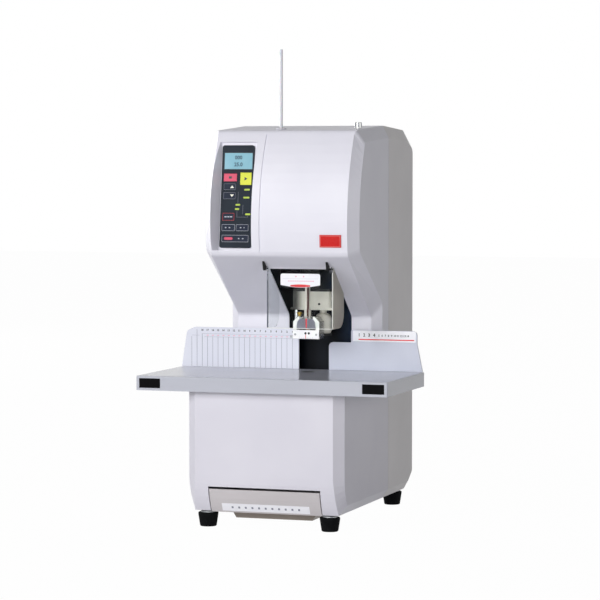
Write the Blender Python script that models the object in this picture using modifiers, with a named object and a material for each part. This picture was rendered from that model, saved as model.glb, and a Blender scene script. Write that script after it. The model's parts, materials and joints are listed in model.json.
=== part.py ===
"""A desk machine that drills a stack of paper and closes it with a heated nylon tube.

Lengths are metres, +Z is up. Setbacks are measured from the front edge of the paper
table towards the back, so every piece hangs on one empty that stands half the depth
in front of the origin, and the origin ends up under the middle of the machine.
"""

import math

import bmesh
import bpy
from mathutils import Matrix, Vector

MACHINE_NAME = "binding_machine"

# Clearances and joins
GAP = 0.0003  # between two pieces that touch
SEAM_GAP = 0.0008  # open line between the front and rear casings
OVERRUN = 0.006  # how far a cut runs past the face it opens
EMBED = 0.001  # how far one joined shape runs into the next
ROUND_SIDES = 28
SMALL_SIDES = 16
FILLET_STEPS = 3

# Casing
CASE_WIDTH = 0.280
CASE_DEPTH = 0.437
CASE_FRONT = 0.018
CASE_BOTTOM = 0.028
CASE_TOP = 0.690
COVER_WALL = 0.003
SEAM_SETBACK = 0.292
FRONT_CHAMFER_ACROSS = 0.016
FRONT_CHAMFER_BACK = 0.015
TOP_CHAMFER_ACROSS = 0.0106
TOP_CHAMFER_DOWN = 0.021
BOTTOM_CHAMFER_UP = 0.016
TOE_HEIGHT = 0.062
TOE_BACK = 0.016
TOE_STEPS = 5
COVER_FLANGE = 0.019  # edge left round the open underside
FRONT_LIP = 0.0015
REAR_LIP = 0.001

# Head
HEAD_NOSE_SETBACK = 0.0964
HEAD_FRONT_RADIUS = 0.3239
HEAD_NOSE_HEIGHT = 0.5152
HEAD_CURVE_TOP = 0.6735
HEAD_CURVE_BOTTOM = 0.4715
HEAD_CURVE_STEPS = 12
HEAD_CHAMFER_BACK = 0.020
BROW_DROP = 0.009
BROW_RADIUS = 0.010
NOSE_SETBACK = 0.1014
NOSE_HEIGHT = 0.4645
NOSE_RADIUS = 0.015
NOSE_CHAMFER_UP = 0.0065
NOSE_CHAMFER_BACK = 0.0188
COLUMN_SETBACK = 0.240
COLUMN_CORNER_HEIGHT = 0.3549
COLUMN_CORNER_RADIUS = 0.012
COLUMN_CHAMFER_BACK = 0.015
COLUMN_CHAMFER_UP = 0.023

# Rear casing
REAR_TOP_BACK = 0.035
REAR_TOP_DROP = 0.007
REAR_SHOULDER_HEIGHT = 0.657
REAR_SHOULDER_RADIUS = 0.012
REAR_KICK_HEIGHT = 0.052
REAR_KICK_BACK = 0.025
REAR_KICK_RADIUS = 0.006
REAR_CHAMFER = 0.008
LOUVRE_COUNT = 9
LOUVRE_LENGTH = 0.120
LOUVRE_HEIGHT = 0.0035
LOUVRE_PITCH = 0.011
LOUVRE_FIRST_HEIGHT = 0.500

# Groove down the front of the head
GROOVE_ACROSS = -0.034
GROOVE_WIDTH = 0.003
GROOVE_DEPTH = 0.0014

# Paper table
TABLE_WIDTH = 0.450
TABLE_DEPTH = 0.225
TABLE_TOP = 0.260
TABLE_PLATE = 0.003
APRON_HEIGHT = 0.025
TABLE_EDGE_RADIUS = 0.002
CAP_WIDTH = 0.038
CAP_HEIGHT = 0.016
CAP_INSET = 0.006  # from the end of the apron
CAP_LIP = 0.0012
CAP_LIP_THICKNESS = 0.0016

# Tool centre line and the pad under it
TOOL_ACROSS = 0.030
TOOL_SETBACK = 0.168
PAD_RADIUS = 0.013
PAD_HEIGHT = 0.008
PAD_DISH = 0.0006
BOSS_RADIUS = 0.015

# Throat
THROAT_LEFT = -0.028
THROAT_RIGHT = 0.088
THROAT_TOP = 0.441
LINER_WALL = 0.002
LINER_TOP = 0.447
LINER_BACK = 0.258
LINER_HEADER_SETBACK = 0.184
LINER_HEADER_THICKNESS = 0.003
LINER_HEADER_BOTTOM = 0.405
LINER_SLOT_HALF_WIDTH = 0.017
LINER_MARGIN = 0.0012

# Fences
FENCE_SETBACK = 0.221
FENCE_THICKNESS = 0.004
FENCE_HEIGHT = 0.071
FENCE_CORNER_RADIUS = 0.007
FENCE_END_SLOPE = 0.010
FENCE_END_HEIGHT = 0.064
FENCE_SHOULDER = 0.0146
LEFT_FENCE_INNER = -0.004
RIGHT_FENCE_INNER = 0.052
RIGHT_STEP_HEIGHT = 0.049
RIGHT_STEP_ACROSS = 0.093
RIGHT_FENCE_CUT_BACK = 0.012
FENCE_BAR_HEIGHT = 0.020
FENCE_BAR_LIFT = 0.002
FENCE_BAR_END_MARGIN = 0.025  # from the end of the table
FENCE_BAR_LEFT_START = -0.035
FENCE_BAR_RIGHT_START = 0.095

# Base plate and feet
BASE_PLATE = 0.003
BASE_HALF_WIDTH = 0.126
BASE_FRONT = 0.038
BASE_REAR_MARGIN = 0.029
BASE_SLOT_HALF_WIDTH = 0.092
BASE_SLOT_BACK = 0.214
FOOT_ACROSS = 0.110
FOOT_FRONT_SETBACK = 0.046
FOOT_REAR_MARGIN = 0.035
FOOT_HEIGHT = 0.024
FOOT_BOTTOM_RADIUS = 0.0135
FOOT_TOP_RADIUS = 0.0175
FOOT_RIM = 0.003
STUD_RADIUS = 0.003
NUT_RADIUS = 0.0058

# Drawer
DRAWER_HALF_WIDTH = 0.0993
DRAWER_BOTTOM = 0.0265
DRAWER_HEIGHT = 0.0407
DRAWER_FRONT_THICKNESS = 0.003
DRAWER_SLIT = 0.0016
DRAWER_TOP_SLIT = 0.004
DRAWER_LABEL_HALF_WIDTH = 0.079
DRAWER_LABEL_HEIGHT = 0.0136
DRAWER_LABEL_LIFT = 0.0025
DRAWER_LABEL_DEPTH = 0.0006
TRAY_HALF_WIDTH = 0.088
TRAY_WALL = 0.002
TRAY_FRONT = 0.034
TRAY_BACK = 0.205
TRAY_FLOOR = 0.0295
TRAY_TOP = 0.060
WELL_FRONT = 0.075
WELL_BACK = 0.190
WELL_TOP_HALF_WIDTH = 0.081
WELL_BOTTOM_HALF_WIDTH = 0.069
WELL_BOTTOM = 0.012
TRAY_FLANGE = 0.0055
TRAY_FLANGE_THICKNESS = 0.0015
RUNNER_LEDGE_HEIGHT = 0.044
RUNNER_SHEET = 0.0015
RUNNER_REACH = 0.0045
RUNNER_FOOT = 0.012
RUNNER_FRONT = 0.046
RUNNER_GAP = 0.0005

# Machine frame
FRAME_LEFT = -0.036
FRAME_RIGHT = 0.096
FRAME_SPINE_SETBACK = 0.262
FRAME_SPINE_DEPTH = 0.024
FRAME_WEB = 0.025
FRAME_FOOT_FRONT = 0.2185
FRAME_FOOT_BACK = 0.330
FRAME_FOOT_HEIGHT = 0.0154
FRAME_ARM_FRONT = 0.150
FRAME_ARM_BOTTOM = 0.205
FRAME_ARM_TOP = 0.245
FRAME_ARM_HALF_WIDTH = 0.025
FRAME_FILLET = 0.018
FRAME_SLACK = 0.004
FRAME_LUG_BOTTOM = 0.448
FRAME_LUG_HEIGHT = 0.010
FRAME_LUG_FRONT = 0.230
FRAME_TOP = 0.612
FRAME_TOP_PLATE = 0.012
FRAME_TOP_FRONT = 0.215
FRAME_WINDOW_HALF_WIDTH = 0.030
FRAME_WINDOW_BOTTOM = 0.080
FRAME_WINDOW_TOP = 0.170
ROD_RADIUS = 0.006
ROD_SETBACK = 0.242
ROD_SPREAD = 0.052
SCREW_RADIUS = 0.006
SCREW_THREAD_DEPTH = 0.0008
SCREW_LEAD = 0.008
SCREW_JOURNAL_RADIUS = 0.004
SCREW_BOTTOM = 0.462
SCREW_TOP = 0.598
LIFT_MOTOR_RADIUS = 0.021
LIFT_MOTOR_HEIGHT = 0.0557

# Carriage
CARRIAGE_TRAVEL = 0.056
BLOCK_LEFT = -0.034
BLOCK_RIGHT = 0.094
BLOCK_FRONT = 0.206
BLOCK_BACK = 0.256
BLOCK_BOTTOM = 0.520
BLOCK_HEIGHT = 0.040
HOUSING_HALF_WIDTH = 0.0365
HOUSING_FRONT = 0.190
HOUSING_BACK = 0.219
HOUSING_BOTTOM = 0.367
HOUSING_RADIUS = 0.008
LEDGE_HEIGHT = 0.004
LEDGE_REACH = 0.002
BLOCK_CORNER_RADIUS = 0.005
SPINDLE_ARM_HALF_WIDTH = 0.015
SPINDLE_ARM_FRONT = 0.150
SPINDLE_ARM_BOTTOM = 0.455
SPINDLE_ARM_TOP = 0.490
MOTOR_PLATE_LEFT = 0.060
MOTOR_PLATE_RIGHT = 0.125
MOTOR_PLATE_FRONT = 0.130
MOTOR_PLATE_BOTTOM = 0.532
MOTOR_PLATE_THICKNESS = 0.008
MOTOR_ACROSS = 0.095
MOTOR_SETBACK = 0.163
MOTOR_RADIUS = 0.027
MOTOR_HEIGHT = 0.0877
MOTOR_STEP = 0.003
MOTOR_SHAFT_RADIUS = 0.004
MOTOR_SHAFT_HOLE = 0.0085
MOTOR_SHAFT_DEPTH = 0.010
MOTOR_PULLEY_RADIUS = 0.014
MOTOR_PULLEY_FLANGE = 0.003
SPINDLE_PULLEY_RADIUS = 0.018
PULLEY_BOTTOM = 0.512
PULLEY_HEIGHT = 0.016
PULLEY_FLANGE_THICKNESS = 0.0015
BELT_HEIGHT = 0.012
BELT_THICKNESS = 0.0015
BELT_SLACK = 0.0001
NUT_FLANGE_RADIUS = 0.012
NUT_FLANGE_HEIGHT = 0.008
NUT_HUB_RADIUS = 0.009
NUT_HUB_DEPTH = 0.012
SPINDLE_RADIUS = 0.0045
SPINDLE_BEARING_RADIUS = 0.008
SPINDLE_BOTTOM = 0.352
SPINDLE_TOP = 0.545
SPINDLE_COLLAR = 0.002
CHUCK_RADIUS = 0.006
CHUCK_HEIGHT = 0.018
DRILL_RADIUS = 0.003
DRILL_BORE_RADIUS = 0.0018
DRILL_BOTTOM = 0.321
DRILL_BEVEL = 0.003
RIVET_ACROSS = 0.047
RIVET_SETBACK = 0.205
RIVET_RADIUS = 0.0145
RIVET_BOTTOM = 0.322
RIVET_NECK_RADIUS = 0.006
RIVET_NECK_HEIGHT = 0.006

# Pressing foot
FOOT_PLATE_HALF_WIDTH = 0.024
FOOT_PLATE_FRONT = 0.160
FOOT_PLATE_BACK = 0.188
FOOT_PLATE_BOTTOM = 0.318
FOOT_PLATE_THICKNESS = 0.004
FOOT_CORNER_RADIUS = 0.003
FOOT_HOLE_RADIUS = 0.0075
FOOT_STROKE = 0.040
FOOT_SCALE_FRONT = 0.157
FOOT_SCALE_THICKNESS = 0.0027
FOOT_SCALE_HEIGHT = 0.0155
HOOD_TOP = 0.357
HOOD_SHOULDER = 0.348
HOOD_BOTTOM = 0.336
HOOD_TOP_HALF_WIDTH = 0.015
HOOD_WALL = 0.0015
FOOT_PIN_RADIUS = 0.003
FOOT_PIN_LEFT = -0.001
FOOT_PIN_RIGHT = 0.021
FOOT_PIN_SETBACK = 0.200
FOOT_PIN_LENGTH = 0.074
FOOT_SCREW_ACROSS = 0.014
FOOT_SCREW_SETBACK = 0.172
FOOT_SCREW_HEIGHT = 0.007
FOOT_SCREW_RADIUS = 0.0045

# Nylon tube feed
TUBE_RADIUS = 0.0028
TUBE_BORE_RADIUS = 0.0018
TUBE_ACROSS = -0.020
TUBE_SETBACK = 0.172
TUBE_BOTTOM = 0.530
TUBE_TOP = 0.822
ROLLER_RADIUS = 0.007
ROLLER_HALF_WIDTH = 0.004
ROLLER_HEIGHT = 0.600
ROLLER_SHAFT_RADIUS = 0.002
FEED_PLATE_LEFT = -0.046
FEED_PLATE_RIGHT = 0.006
FEED_PLATE_SETBACK = 0.180
FEED_PLATE_THICKNESS = 0.006
FEED_PLATE_BOTTOM = 0.580
FEED_PLATE_TOP = 0.625
FEED_ARM_LEFT = -0.032
FEED_ARM_RIGHT = -0.010
BUSH_RADIUS = 0.007
BUSH_FLANGE = 0.0025
BUSH_FLANGE_THICKNESS = 0.0022
BUSH_LENGTH = 0.012
BUSH_BORE_RADIUS = 0.0038
BUSH_SLACK = 0.0008

# Depth knob
KNOB_ACROSS = 0.112
KNOB_SETBACK = 0.200
KNOB_RADIUS = 0.0063
KNOB_HEIGHT = 0.010
KNOB_STEM_RADIUS = 0.0025
KNOB_STEM_LENGTH = 0.025
KNOB_FLUTES = 6
KNOB_FLUTE_RADIUS = 0.0016

# Guard
GUARD_LEFT = -0.029
GUARD_RIGHT = 0.091
GUARD_SHEET = 0.002
GUARD_FRONT = 0.121
GUARD_BOTTOM = 0.338
GUARD_TOP = 0.440
GUARD_DEPTH = 0.063
GUARD_CORNER_RADIUS = 0.026
GUARD_EDGE_GAP = 0.002
GUARD_EAR_RADIUS = 0.0040
PIN_SETBACK = 0.120
PIN_HEIGHT = 0.442
PIN_RADIUS = 0.0015
BRACKET_SHEET = 0.004
BRACKET_LEFT = -0.035
BRACKET_RIGHT = 0.080
BRACKET_FOOT_FRONT = 0.1135
BRACKET_FOOT_BACK = 0.1240
GUARD_NOTCH = 0.006

# Control panel
PANEL_ACROSS = -0.0845
PANEL_TOP_SETBACK = 0.132
PANEL_BOTTOM_SETBACK = 0.1125
PANEL_TOP_HEIGHT = 0.655
PANEL_BOTTOM_HEIGHT = 0.477
PANEL_WIDTH = 0.059
PANEL_THICKNESS = 0.0024
PANEL_CORNER_RADIUS = 0.004
POCKET_MARGIN = 0.0055
POCKET_LEFT_MARGIN = 0.002
POCKET_LEFT_SLOPE = 0.42
POCKET_WALL = 0.003
POCKET_LEDGE = 0.004
POCKET_FRONT_REACH = 0.030
KEY_PROUD = 0.0004
KEY_THICKNESS = 0.0023
KEY_TRAVEL = 0.0004
KEY_EDGE_RADIUS = 0.0003
BOARD_THICKNESS = 0.0016
BOARD_MARGIN = 0.0012
BOARD_PART_DEPTH = 0.008
BOARD_PART_SHARES = (  # left, right, low and high ends on the board, and depth
    (-0.8, 0.8, 0.55, 0.92, 0.35),
    (-0.7, 0.1, -0.1, 0.25, 0.5),
    (0.3, 0.8, -0.3, 0.1, 1.0),
    (-0.8, -0.2, -0.9, -0.6, 0.8),
)
BADGE_LEFT = 0.0748
BADGE_RIGHT = 0.1133
BADGE_BOTTOM = 0.480
BADGE_TOP = 0.5015
BADGE_THICKNESS = 0.0010

# Mains inlet, supply and rocker
INLET_POCKET_HALF_WIDTH = 0.024
INLET_POCKET_HALF_HEIGHT = 0.033
INLET_POCKET_DEPTH = 0.006
INLET_HEIGHT = 0.105
INLET_ACROSS = -0.075
INLET_FLANGE_THICKNESS = 0.002
INLET_FLANGE_HALF_WIDTH = 0.0195
INLET_FLANGE_HALF_HEIGHT = 0.0285
INLET_BODY_HALF_WIDTH = 0.0135
INLET_BODY_HALF_HEIGHT = 0.0235
INLET_BODY_DEPTH = 0.022
SOCKET_HALF_WIDTH = 0.0115
SOCKET_HALF_HEIGHT = 0.0080
SOCKET_DROP = 0.0120
SOCKET_DEPTH = 0.016
BLADE_WIDTH = 0.0020
BLADE_HEIGHT = 0.0040
BLADE_SPREAD = 0.0070
ROCKER_RISE = 0.0125
ROCKER_HALF_WIDTH = 0.0095
ROCKER_HALF_HEIGHT = 0.0060
ROCKER_WINDOW_DEPTH = 0.010
ROCKER_CLEARANCE = 0.0008
ROCKER_PIVOT_DEPTH = 0.0015
ROCKER_PROUD = 0.0022
ROCKER_REST_ANGLE = math.radians(8)
SUPPLY_LEFT = -0.112
SUPPLY_RIGHT = -0.040
SUPPLY_LENGTH = 0.080
SUPPLY_REAR_MARGIN = 0.039
SUPPLY_HEIGHT = 0.045
SUPPLY_SHEET = 0.0015
SUPPLY_TERMINAL_DEPTH = 0.014

# Sizes that follow from the ones above
TOTAL_DEPTH = CASE_FRONT + CASE_DEPTH
CASE_BACK = TOTAL_DEPTH
HALF_CASE = CASE_WIDTH / 2
HALF_TABLE = TABLE_WIDTH / 2
REAR_TOP_SETBACK = CASE_BACK - REAR_TOP_BACK
REAR_KICK_SETBACK = CASE_BACK - REAR_KICK_BACK
BASE_BACK = CASE_BACK - BASE_REAR_MARGIN
FOOT_REAR_SETBACK = CASE_BACK - FOOT_REAR_MARGIN
SUPPLY_BACK = CASE_BACK - SUPPLY_REAR_MARGIN
SUPPLY_FRONT = SUPPLY_BACK - SUPPLY_LENGTH
FENCE_BAR_LEFT_END = FENCE_BAR_END_MARGIN - HALF_TABLE
FENCE_BAR_RIGHT_END = HALF_TABLE - FENCE_BAR_END_MARGIN
PLATE_BOTTOM = TABLE_TOP - TABLE_PLATE
LOWER_TOP = PLATE_BOTTOM - GAP
HEAD_BOTTOM = LOWER_TOP + GAP
FENCE_BOTTOM = TABLE_TOP + GAP
FENCE_TOP = TABLE_TOP + FENCE_HEIGHT
FENCE_BACK = FENCE_SETBACK + FENCE_THICKNESS
BASE_BOTTOM = CASE_BOTTOM + COVER_WALL + GAP
BASE_TOP = BASE_BOTTOM + BASE_PLATE
REAR_SEAM = SEAM_SETBACK + SEAM_GAP
SEAT = GAP
SPINE_BACK = FRAME_SPINE_SETBACK + FRAME_SPINE_DEPTH
ROD_LEFT = TOOL_ACROSS - ROD_SPREAD
ROD_RIGHT = TOOL_ACROSS + ROD_SPREAD
HOUSING_LEFT = TOOL_ACROSS - HOUSING_HALF_WIDTH
HOUSING_RIGHT = TOOL_ACROSS + HOUSING_HALF_WIDTH
BLOCK_TOP = BLOCK_BOTTOM + BLOCK_HEIGHT
SLOPE_RISE = (COLUMN_CORNER_HEIGHT - NOSE_HEIGHT) / (COLUMN_SETBACK - NOSE_SETBACK)
SLOPE_ANGLE = math.atan(SLOPE_RISE)
PANEL_TILT = math.atan2(
    PANEL_TOP_SETBACK - PANEL_BOTTOM_SETBACK, PANEL_TOP_HEIGHT - PANEL_BOTTOM_HEIGHT
)
PANEL_HEIGHT = math.hypot(
    PANEL_TOP_SETBACK - PANEL_BOTTOM_SETBACK, PANEL_TOP_HEIGHT - PANEL_BOTTOM_HEIGHT
)
PANEL_SETBACK = (PANEL_TOP_SETBACK + PANEL_BOTTOM_SETBACK) / 2
PANEL_MIDDLE = (PANEL_TOP_HEIGHT + PANEL_BOTTOM_HEIGHT) / 2

COLOURS = {
    "casing": ((0.76, 0.77, 0.82), 0.42, 0.0),
    "rear_casing": ((0.72, 0.71, 0.72), 0.45, 0.0),
    "table": ((0.55, 0.56, 0.59), 0.18, 0.0),
    "fence": ((0.74, 0.77, 0.83), 0.35, 0.0),
    "black_plastic": ((0.02, 0.02, 0.023), 0.45, 0.0),
    "rubber": ((0.025, 0.025, 0.027), 0.75, 0.0),
    "panel": ((0.035, 0.04, 0.07), 0.30, 0.0),
    "display": ((0.25, 0.62, 0.72), 0.12, 0.0),
    "key_red": ((0.72, 0.08, 0.20), 0.35, 0.0),
    "key_yellow": ((0.80, 0.70, 0.08), 0.35, 0.0),
    "key_dark": ((0.07, 0.08, 0.12), 0.35, 0.0),
    "badge": ((0.72, 0.03, 0.03), 0.30, 0.0),
    "clear": ((0.90, 0.93, 0.95), 0.06, 0.0),
    "white_plastic": ((0.85, 0.85, 0.86), 0.40, 0.0),
    "cast": ((0.42, 0.42, 0.40), 0.50, 0.6),
    "steel": ((0.55, 0.56, 0.57), 0.25, 1.0),
    "zinc": ((0.45, 0.46, 0.47), 0.35, 1.0),
    "brass": ((0.70, 0.48, 0.16), 0.25, 1.0),
    "frame": ((0.16, 0.17, 0.18), 0.55, 0.0),
    "motor": ((0.10, 0.10, 0.11), 0.40, 0.3),
    "belt": ((0.03, 0.03, 0.03), 0.80, 0.0),
    "nylon": ((0.82, 0.82, 0.80), 0.45, 0.0),
    "board": ((0.03, 0.20, 0.09), 0.50, 0.0),
}


# ---- Helpers: scene, materials, placing


def clear_scene():
    for obj in list(bpy.data.objects):
        bpy.data.objects.remove(obj, do_unlink=True)


def new_collection(name):
    collection = bpy.data.collections.new(name)
    bpy.context.scene.collection.children.link(collection)
    return collection


clear_scene()
PIECES = new_collection(MACHINE_NAME)
CUTTERS = new_collection(MACHINE_NAME + "_cutters")

MACHINE = bpy.data.objects.new("machine_frame", None)
MACHINE.location = (0, -TOTAL_DEPTH / 2, 0)
PIECES.objects.link(MACHINE)

PANEL_PLANE = bpy.data.objects.new("panel_plane", None)
PANEL_PLANE.parent = MACHINE
PANEL_PLANE.location = (PANEL_ACROSS, PANEL_SETBACK, PANEL_MIDDLE)
PANEL_PLANE.rotation_euler = (-PANEL_TILT, 0, 0)
PIECES.objects.link(PANEL_PLANE)


def material(key):
    found = bpy.data.materials.get(key)
    if found:
        return found
    colour, roughness, metallic = COLOURS[key]
    made = bpy.data.materials.new(key)
    made.use_nodes = True
    shader = made.node_tree.nodes["Principled BSDF"]
    shader.inputs["Base Color"].default_value = (*colour, 1.0)
    shader.inputs["Roughness"].default_value = roughness
    shader.inputs["Metallic"].default_value = metallic
    if key == "clear":
        shader.inputs["Transmission Weight"].default_value = 1.0
    made.diffuse_color = (*colour, 1.0)
    return made


def place(name, mesh, collection, parent):
    obj = bpy.data.objects.new(name, mesh)
    collection.objects.link(obj)
    obj.parent = parent
    return obj


def piece(name, mesh, finish, origin=None, parent=MACHINE):
    """One node. A moving piece gives the point of its joint axis as origin."""
    mesh.name = name
    if origin is not None:
        mesh.transform(Matrix.Translation(-Vector(origin)))
    mesh.shade_smooth()
    mesh.set_sharp_from_angle(angle=math.radians(28))
    mesh.materials.append(material(finish))
    obj = place(name, mesh, PIECES, parent)
    if origin is not None:
        obj.location = origin
    return obj


def helper(mesh, label, parent=MACHINE):
    """A shape that joins or cuts another and isn't a piece itself."""
    obj = place(label, mesh, CUTTERS, parent)
    obj.hide_render = True
    obj.display_type = "WIRE"
    return obj


def combine(obj, mesh, operation, parent=MACHINE):
    other = helper(mesh, f"{obj.name}_{operation.lower()}_{len(obj.modifiers)}", parent)
    modifier = obj.modifiers.new(operation.lower(), "BOOLEAN")
    modifier.operation = operation
    modifier.solver = "EXACT"
    modifier.object = other
    return other


def cut(obj, mesh, parent=MACHINE):
    return combine(obj, mesh, "DIFFERENCE", parent)


def join(obj, mesh, parent=MACHINE):
    return combine(obj, mesh, "UNION", parent)


def round_edges(obj, width, segments=2, angle=35):
    modifier = obj.modifiers.new("round_edges", "BEVEL")
    modifier.width = width
    modifier.segments = segments
    modifier.limit_method = "ANGLE"
    modifier.angle_limit = math.radians(angle)


# ---- Helpers: shapes


def box(low, high):
    work = bmesh.new()
    bmesh.ops.create_cube(work, size=1)
    low, high = Vector(low), Vector(high)
    bmesh.ops.scale(work, vec=high - low, verts=work.verts)
    bmesh.ops.translate(work, vec=(low + high) / 2, verts=work.verts)
    mesh = bpy.data.meshes.new("box")
    work.to_mesh(mesh)
    work.free()
    return mesh


TURNS = {
    "X": Matrix(((0, 0, 1), (1, 0, 0), (0, 1, 0))),
    "Y": Matrix(((1, 0, 0), (0, 0, -1), (0, 1, 0))),
    "Z": Matrix.Identity(3),
}


def rod(centre, radius, low, high, axis="Z", sides=ROUND_SIDES, end_radius=None):
    """A round bar. The centre gives the two other coordinates, in X, Y, Z order."""
    work = bmesh.new()
    bmesh.ops.create_cone(
        work, cap_ends=True, segments=sides, radius1=radius,
        radius2=radius if end_radius is None else end_radius, depth=high - low,
    )
    middle = (low + high) / 2
    turn = {"X": Matrix.Rotation(math.pi / 2, 4, "Y"),
            "Y": Matrix.Rotation(-math.pi / 2, 4, "X"),
            "Z": Matrix.Identity(4)}[axis]
    spot = {"X": (middle, centre[0], centre[1]),
            "Y": (centre[0], middle, centre[1]),
            "Z": (centre[0], centre[1], middle)}[axis]
    bmesh.ops.transform(work, matrix=Matrix.Translation(spot) @ turn, verts=work.verts)
    mesh = bpy.data.meshes.new("rod")
    work.to_mesh(mesh)
    work.free()
    return mesh


def prism(outline, low, high, axis):
    """A flat outline given thickness: (Y, Z) points along X, (X, Z) along Y, (X, Y) along Z."""
    data = bpy.data.curves.new("outline", "CURVE")
    data.dimensions = "2D"
    data.fill_mode = "BOTH"
    data.extrude = (high - low) / 2
    spline = data.splines.new("POLY")
    spline.points.add(len(outline) - 1)
    for point, (across, along) in zip(spline.points, outline):
        point.co = (across, along, 0, 1)
    spline.use_cyclic_u = True
    guide = bpy.data.objects.new("outline", data)
    turn = TURNS[axis].to_4x4()
    middle = (low + high) / 2
    shift = {"X": (middle, 0, 0), "Y": (0, middle, 0), "Z": (0, 0, middle)}[axis]
    guide.matrix_world = Matrix.Translation(shift) @ turn
    CUTTERS.objects.link(guide)
    graph = bpy.context.evaluated_depsgraph_get()
    mesh = bpy.data.meshes.new_from_object(guide.evaluated_get(graph))
    mesh.transform(guide.matrix_world)
    bpy.data.objects.remove(guide, do_unlink=True)
    bpy.data.curves.remove(data)
    work = bmesh.new()
    work.from_mesh(mesh)
    bmesh.ops.remove_doubles(work, verts=work.verts, dist=1e-6)
    bmesh.ops.dissolve_limit(
        work, angle_limit=math.radians(0.05), verts=work.verts, edges=work.edges
    )
    bmesh.ops.recalc_face_normals(work, faces=work.faces)
    work.to_mesh(mesh)
    work.free()
    return mesh


def turned(profile, steps=ROUND_SIDES):
    """A turned shape about Z. The profile runs from the top of the axis down its outer side."""
    mesh = bpy.data.meshes.new("profile")
    edges = [(index, index + 1) for index in range(len(profile) - 1)]
    mesh.from_pydata([(radius, 0, height) for radius, height in profile], edges, [])
    guide = bpy.data.objects.new("profile", mesh)
    CUTTERS.objects.link(guide)
    screw = guide.modifiers.new("turn", "SCREW")
    screw.steps = steps
    screw.render_steps = steps
    screw.use_merge_vertices = True
    screw.merge_threshold = 0.00001
    graph = bpy.context.evaluated_depsgraph_get()
    made = bpy.data.meshes.new_from_object(guide.evaluated_get(graph))
    bpy.data.objects.remove(guide, do_unlink=True)
    bpy.data.meshes.remove(mesh)
    return made


def moved(mesh, across, setback, height=0.0):
    mesh.transform(Matrix.Translation((across, setback, height)))
    return mesh


def filleted(corners, steps=FILLET_STEPS, closed=False):
    """Corner points with radii to a path with arcs. A corner is (point, radius)."""
    path = []
    count = len(corners)
    for index, (point, radius) in enumerate(corners):
        here = Vector(point)
        inner = 0 < index < count - 1
        if radius <= 0 or not (inner or closed):
            path.append(here)
            continue
        before = (Vector(corners[index - 1][0]) - here).normalized()
        after = (Vector(corners[(index + 1) % count][0]) - here).normalized()
        half = before.angle(after) / 2
        reach = radius / math.tan(half)
        centre = here + (before + after).normalized() * (radius / math.sin(half))
        start = here + before * reach - centre
        end = here + after * reach - centre
        sweep = start.angle(end)
        for step in range(steps + 1):
            share = step / steps
            spoke = start * math.sin((1 - share) * sweep) + end * math.sin(share * sweep)
            path.append(centre + spoke / math.sin(sweep))
    return path


def rounded_box(low, high, radius, axis, steps=FILLET_STEPS):
    """A block whose four edges along the axis are rounded."""
    others = [index for index in range(3) if "XYZ"[index] != axis]
    (left, bottom), (right, top) = [
        (point[others[0]], point[others[1]]) for point in (low, high)
    ]
    corners = [((left, bottom), radius), ((right, bottom), radius),
               ((right, top), radius), ((left, top), radius)]
    along = "XYZ".index(axis)
    return prism(filleted(corners, steps, closed=True), low[along], high[along], axis)


def loft_shell(name, ridge, rim, closing, wall, finish):
    """A moulded casing, open along its seam.

    The ridge is the path round the middle of the casing, out to where the side
    chamfer starts, and the rim is the matching path at the flat sides. The closing
    points finish each side face along the seam.
    """
    work = bmesh.new()
    rows = []
    for middle, side in zip(ridge, rim):
        rows.append([
            work.verts.new((-side.x, side.y, side.z)),
            work.verts.new((-middle.x, middle.y, middle.z)),
            work.verts.new((middle.x, middle.y, middle.z)),
            work.verts.new((side.x, side.y, side.z)),
        ])
    for first, second in zip(rows, rows[1:]):
        for left in range(3):
            work.faces.new((first[left], first[left + 1], second[left + 1], second[left]))
    for side, sign in ((0, -1), (3, 1)):
        ends = [work.verts.new((sign * rim[0].x, y, z)) for y, z in closing]
        loop = [row[side] for row in rows] + ends
        work.faces.new(loop if side else list(reversed(loop)))
    bmesh.ops.recalc_face_normals(work, faces=work.faces)
    work.faces.ensure_lookup_table()
    outward = sum(
        face.normal.dot(face.calc_center_median() - Vector((0, SEAM_SETBACK, PLATE_BOTTOM)))
        * face.calc_area() for face in work.faces
    )
    if outward < 0:
        bmesh.ops.reverse_faces(work, faces=work.faces)
    mesh = bpy.data.meshes.new(name)
    work.to_mesh(mesh)
    work.free()
    obj = piece(name, mesh, finish)
    shell = obj.modifiers.new("wall", "SOLIDIFY")
    shell.thickness = wall
    shell.offset = -1
    shell.use_even_offset = True
    shell.use_quality_normals = True
    return obj


def merged(meshes):
    """Several separate shapes as one cutting mesh."""
    work = bmesh.new()
    for mesh in meshes:
        work.from_mesh(mesh)
    mesh = bpy.data.meshes.new("merged")
    work.to_mesh(mesh)
    work.free()
    return mesh


def stadium(first, first_radius, second, second_radius, steps=10):
    """The outline of a band laid tight round two pulleys."""
    first, second = Vector(first), Vector(second)
    line = second - first
    heading = math.atan2(line.y, line.x)
    lean = math.acos((first_radius - second_radius) / line.length)
    path = []
    for centre, radius, start, sweep in (
        (first, first_radius, heading + lean, 2 * (math.pi - lean)),
        (second, second_radius, heading - lean, 2 * lean),
    ):
        for step in range(steps + 1):
            angle = start + sweep * step / steps
            path.append(centre + Vector((math.cos(angle), math.sin(angle))) * radius)
    return path


# ---- Casing


def head_curve(height):
    """Setback of the curved head front at this height."""
    drop = height - HEAD_NOSE_HEIGHT
    centre = HEAD_NOSE_SETBACK + HEAD_FRONT_RADIUS
    return centre - math.sqrt(HEAD_FRONT_RADIUS**2 - drop**2)


def slope_height(setback):
    """Height of the sloping underside of the head at this setback."""
    return NOSE_HEIGHT + SLOPE_RISE * (setback - NOSE_SETBACK)


def slope_setback(height):
    return NOSE_SETBACK + (height - NOSE_HEIGHT) / SLOPE_RISE


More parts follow.
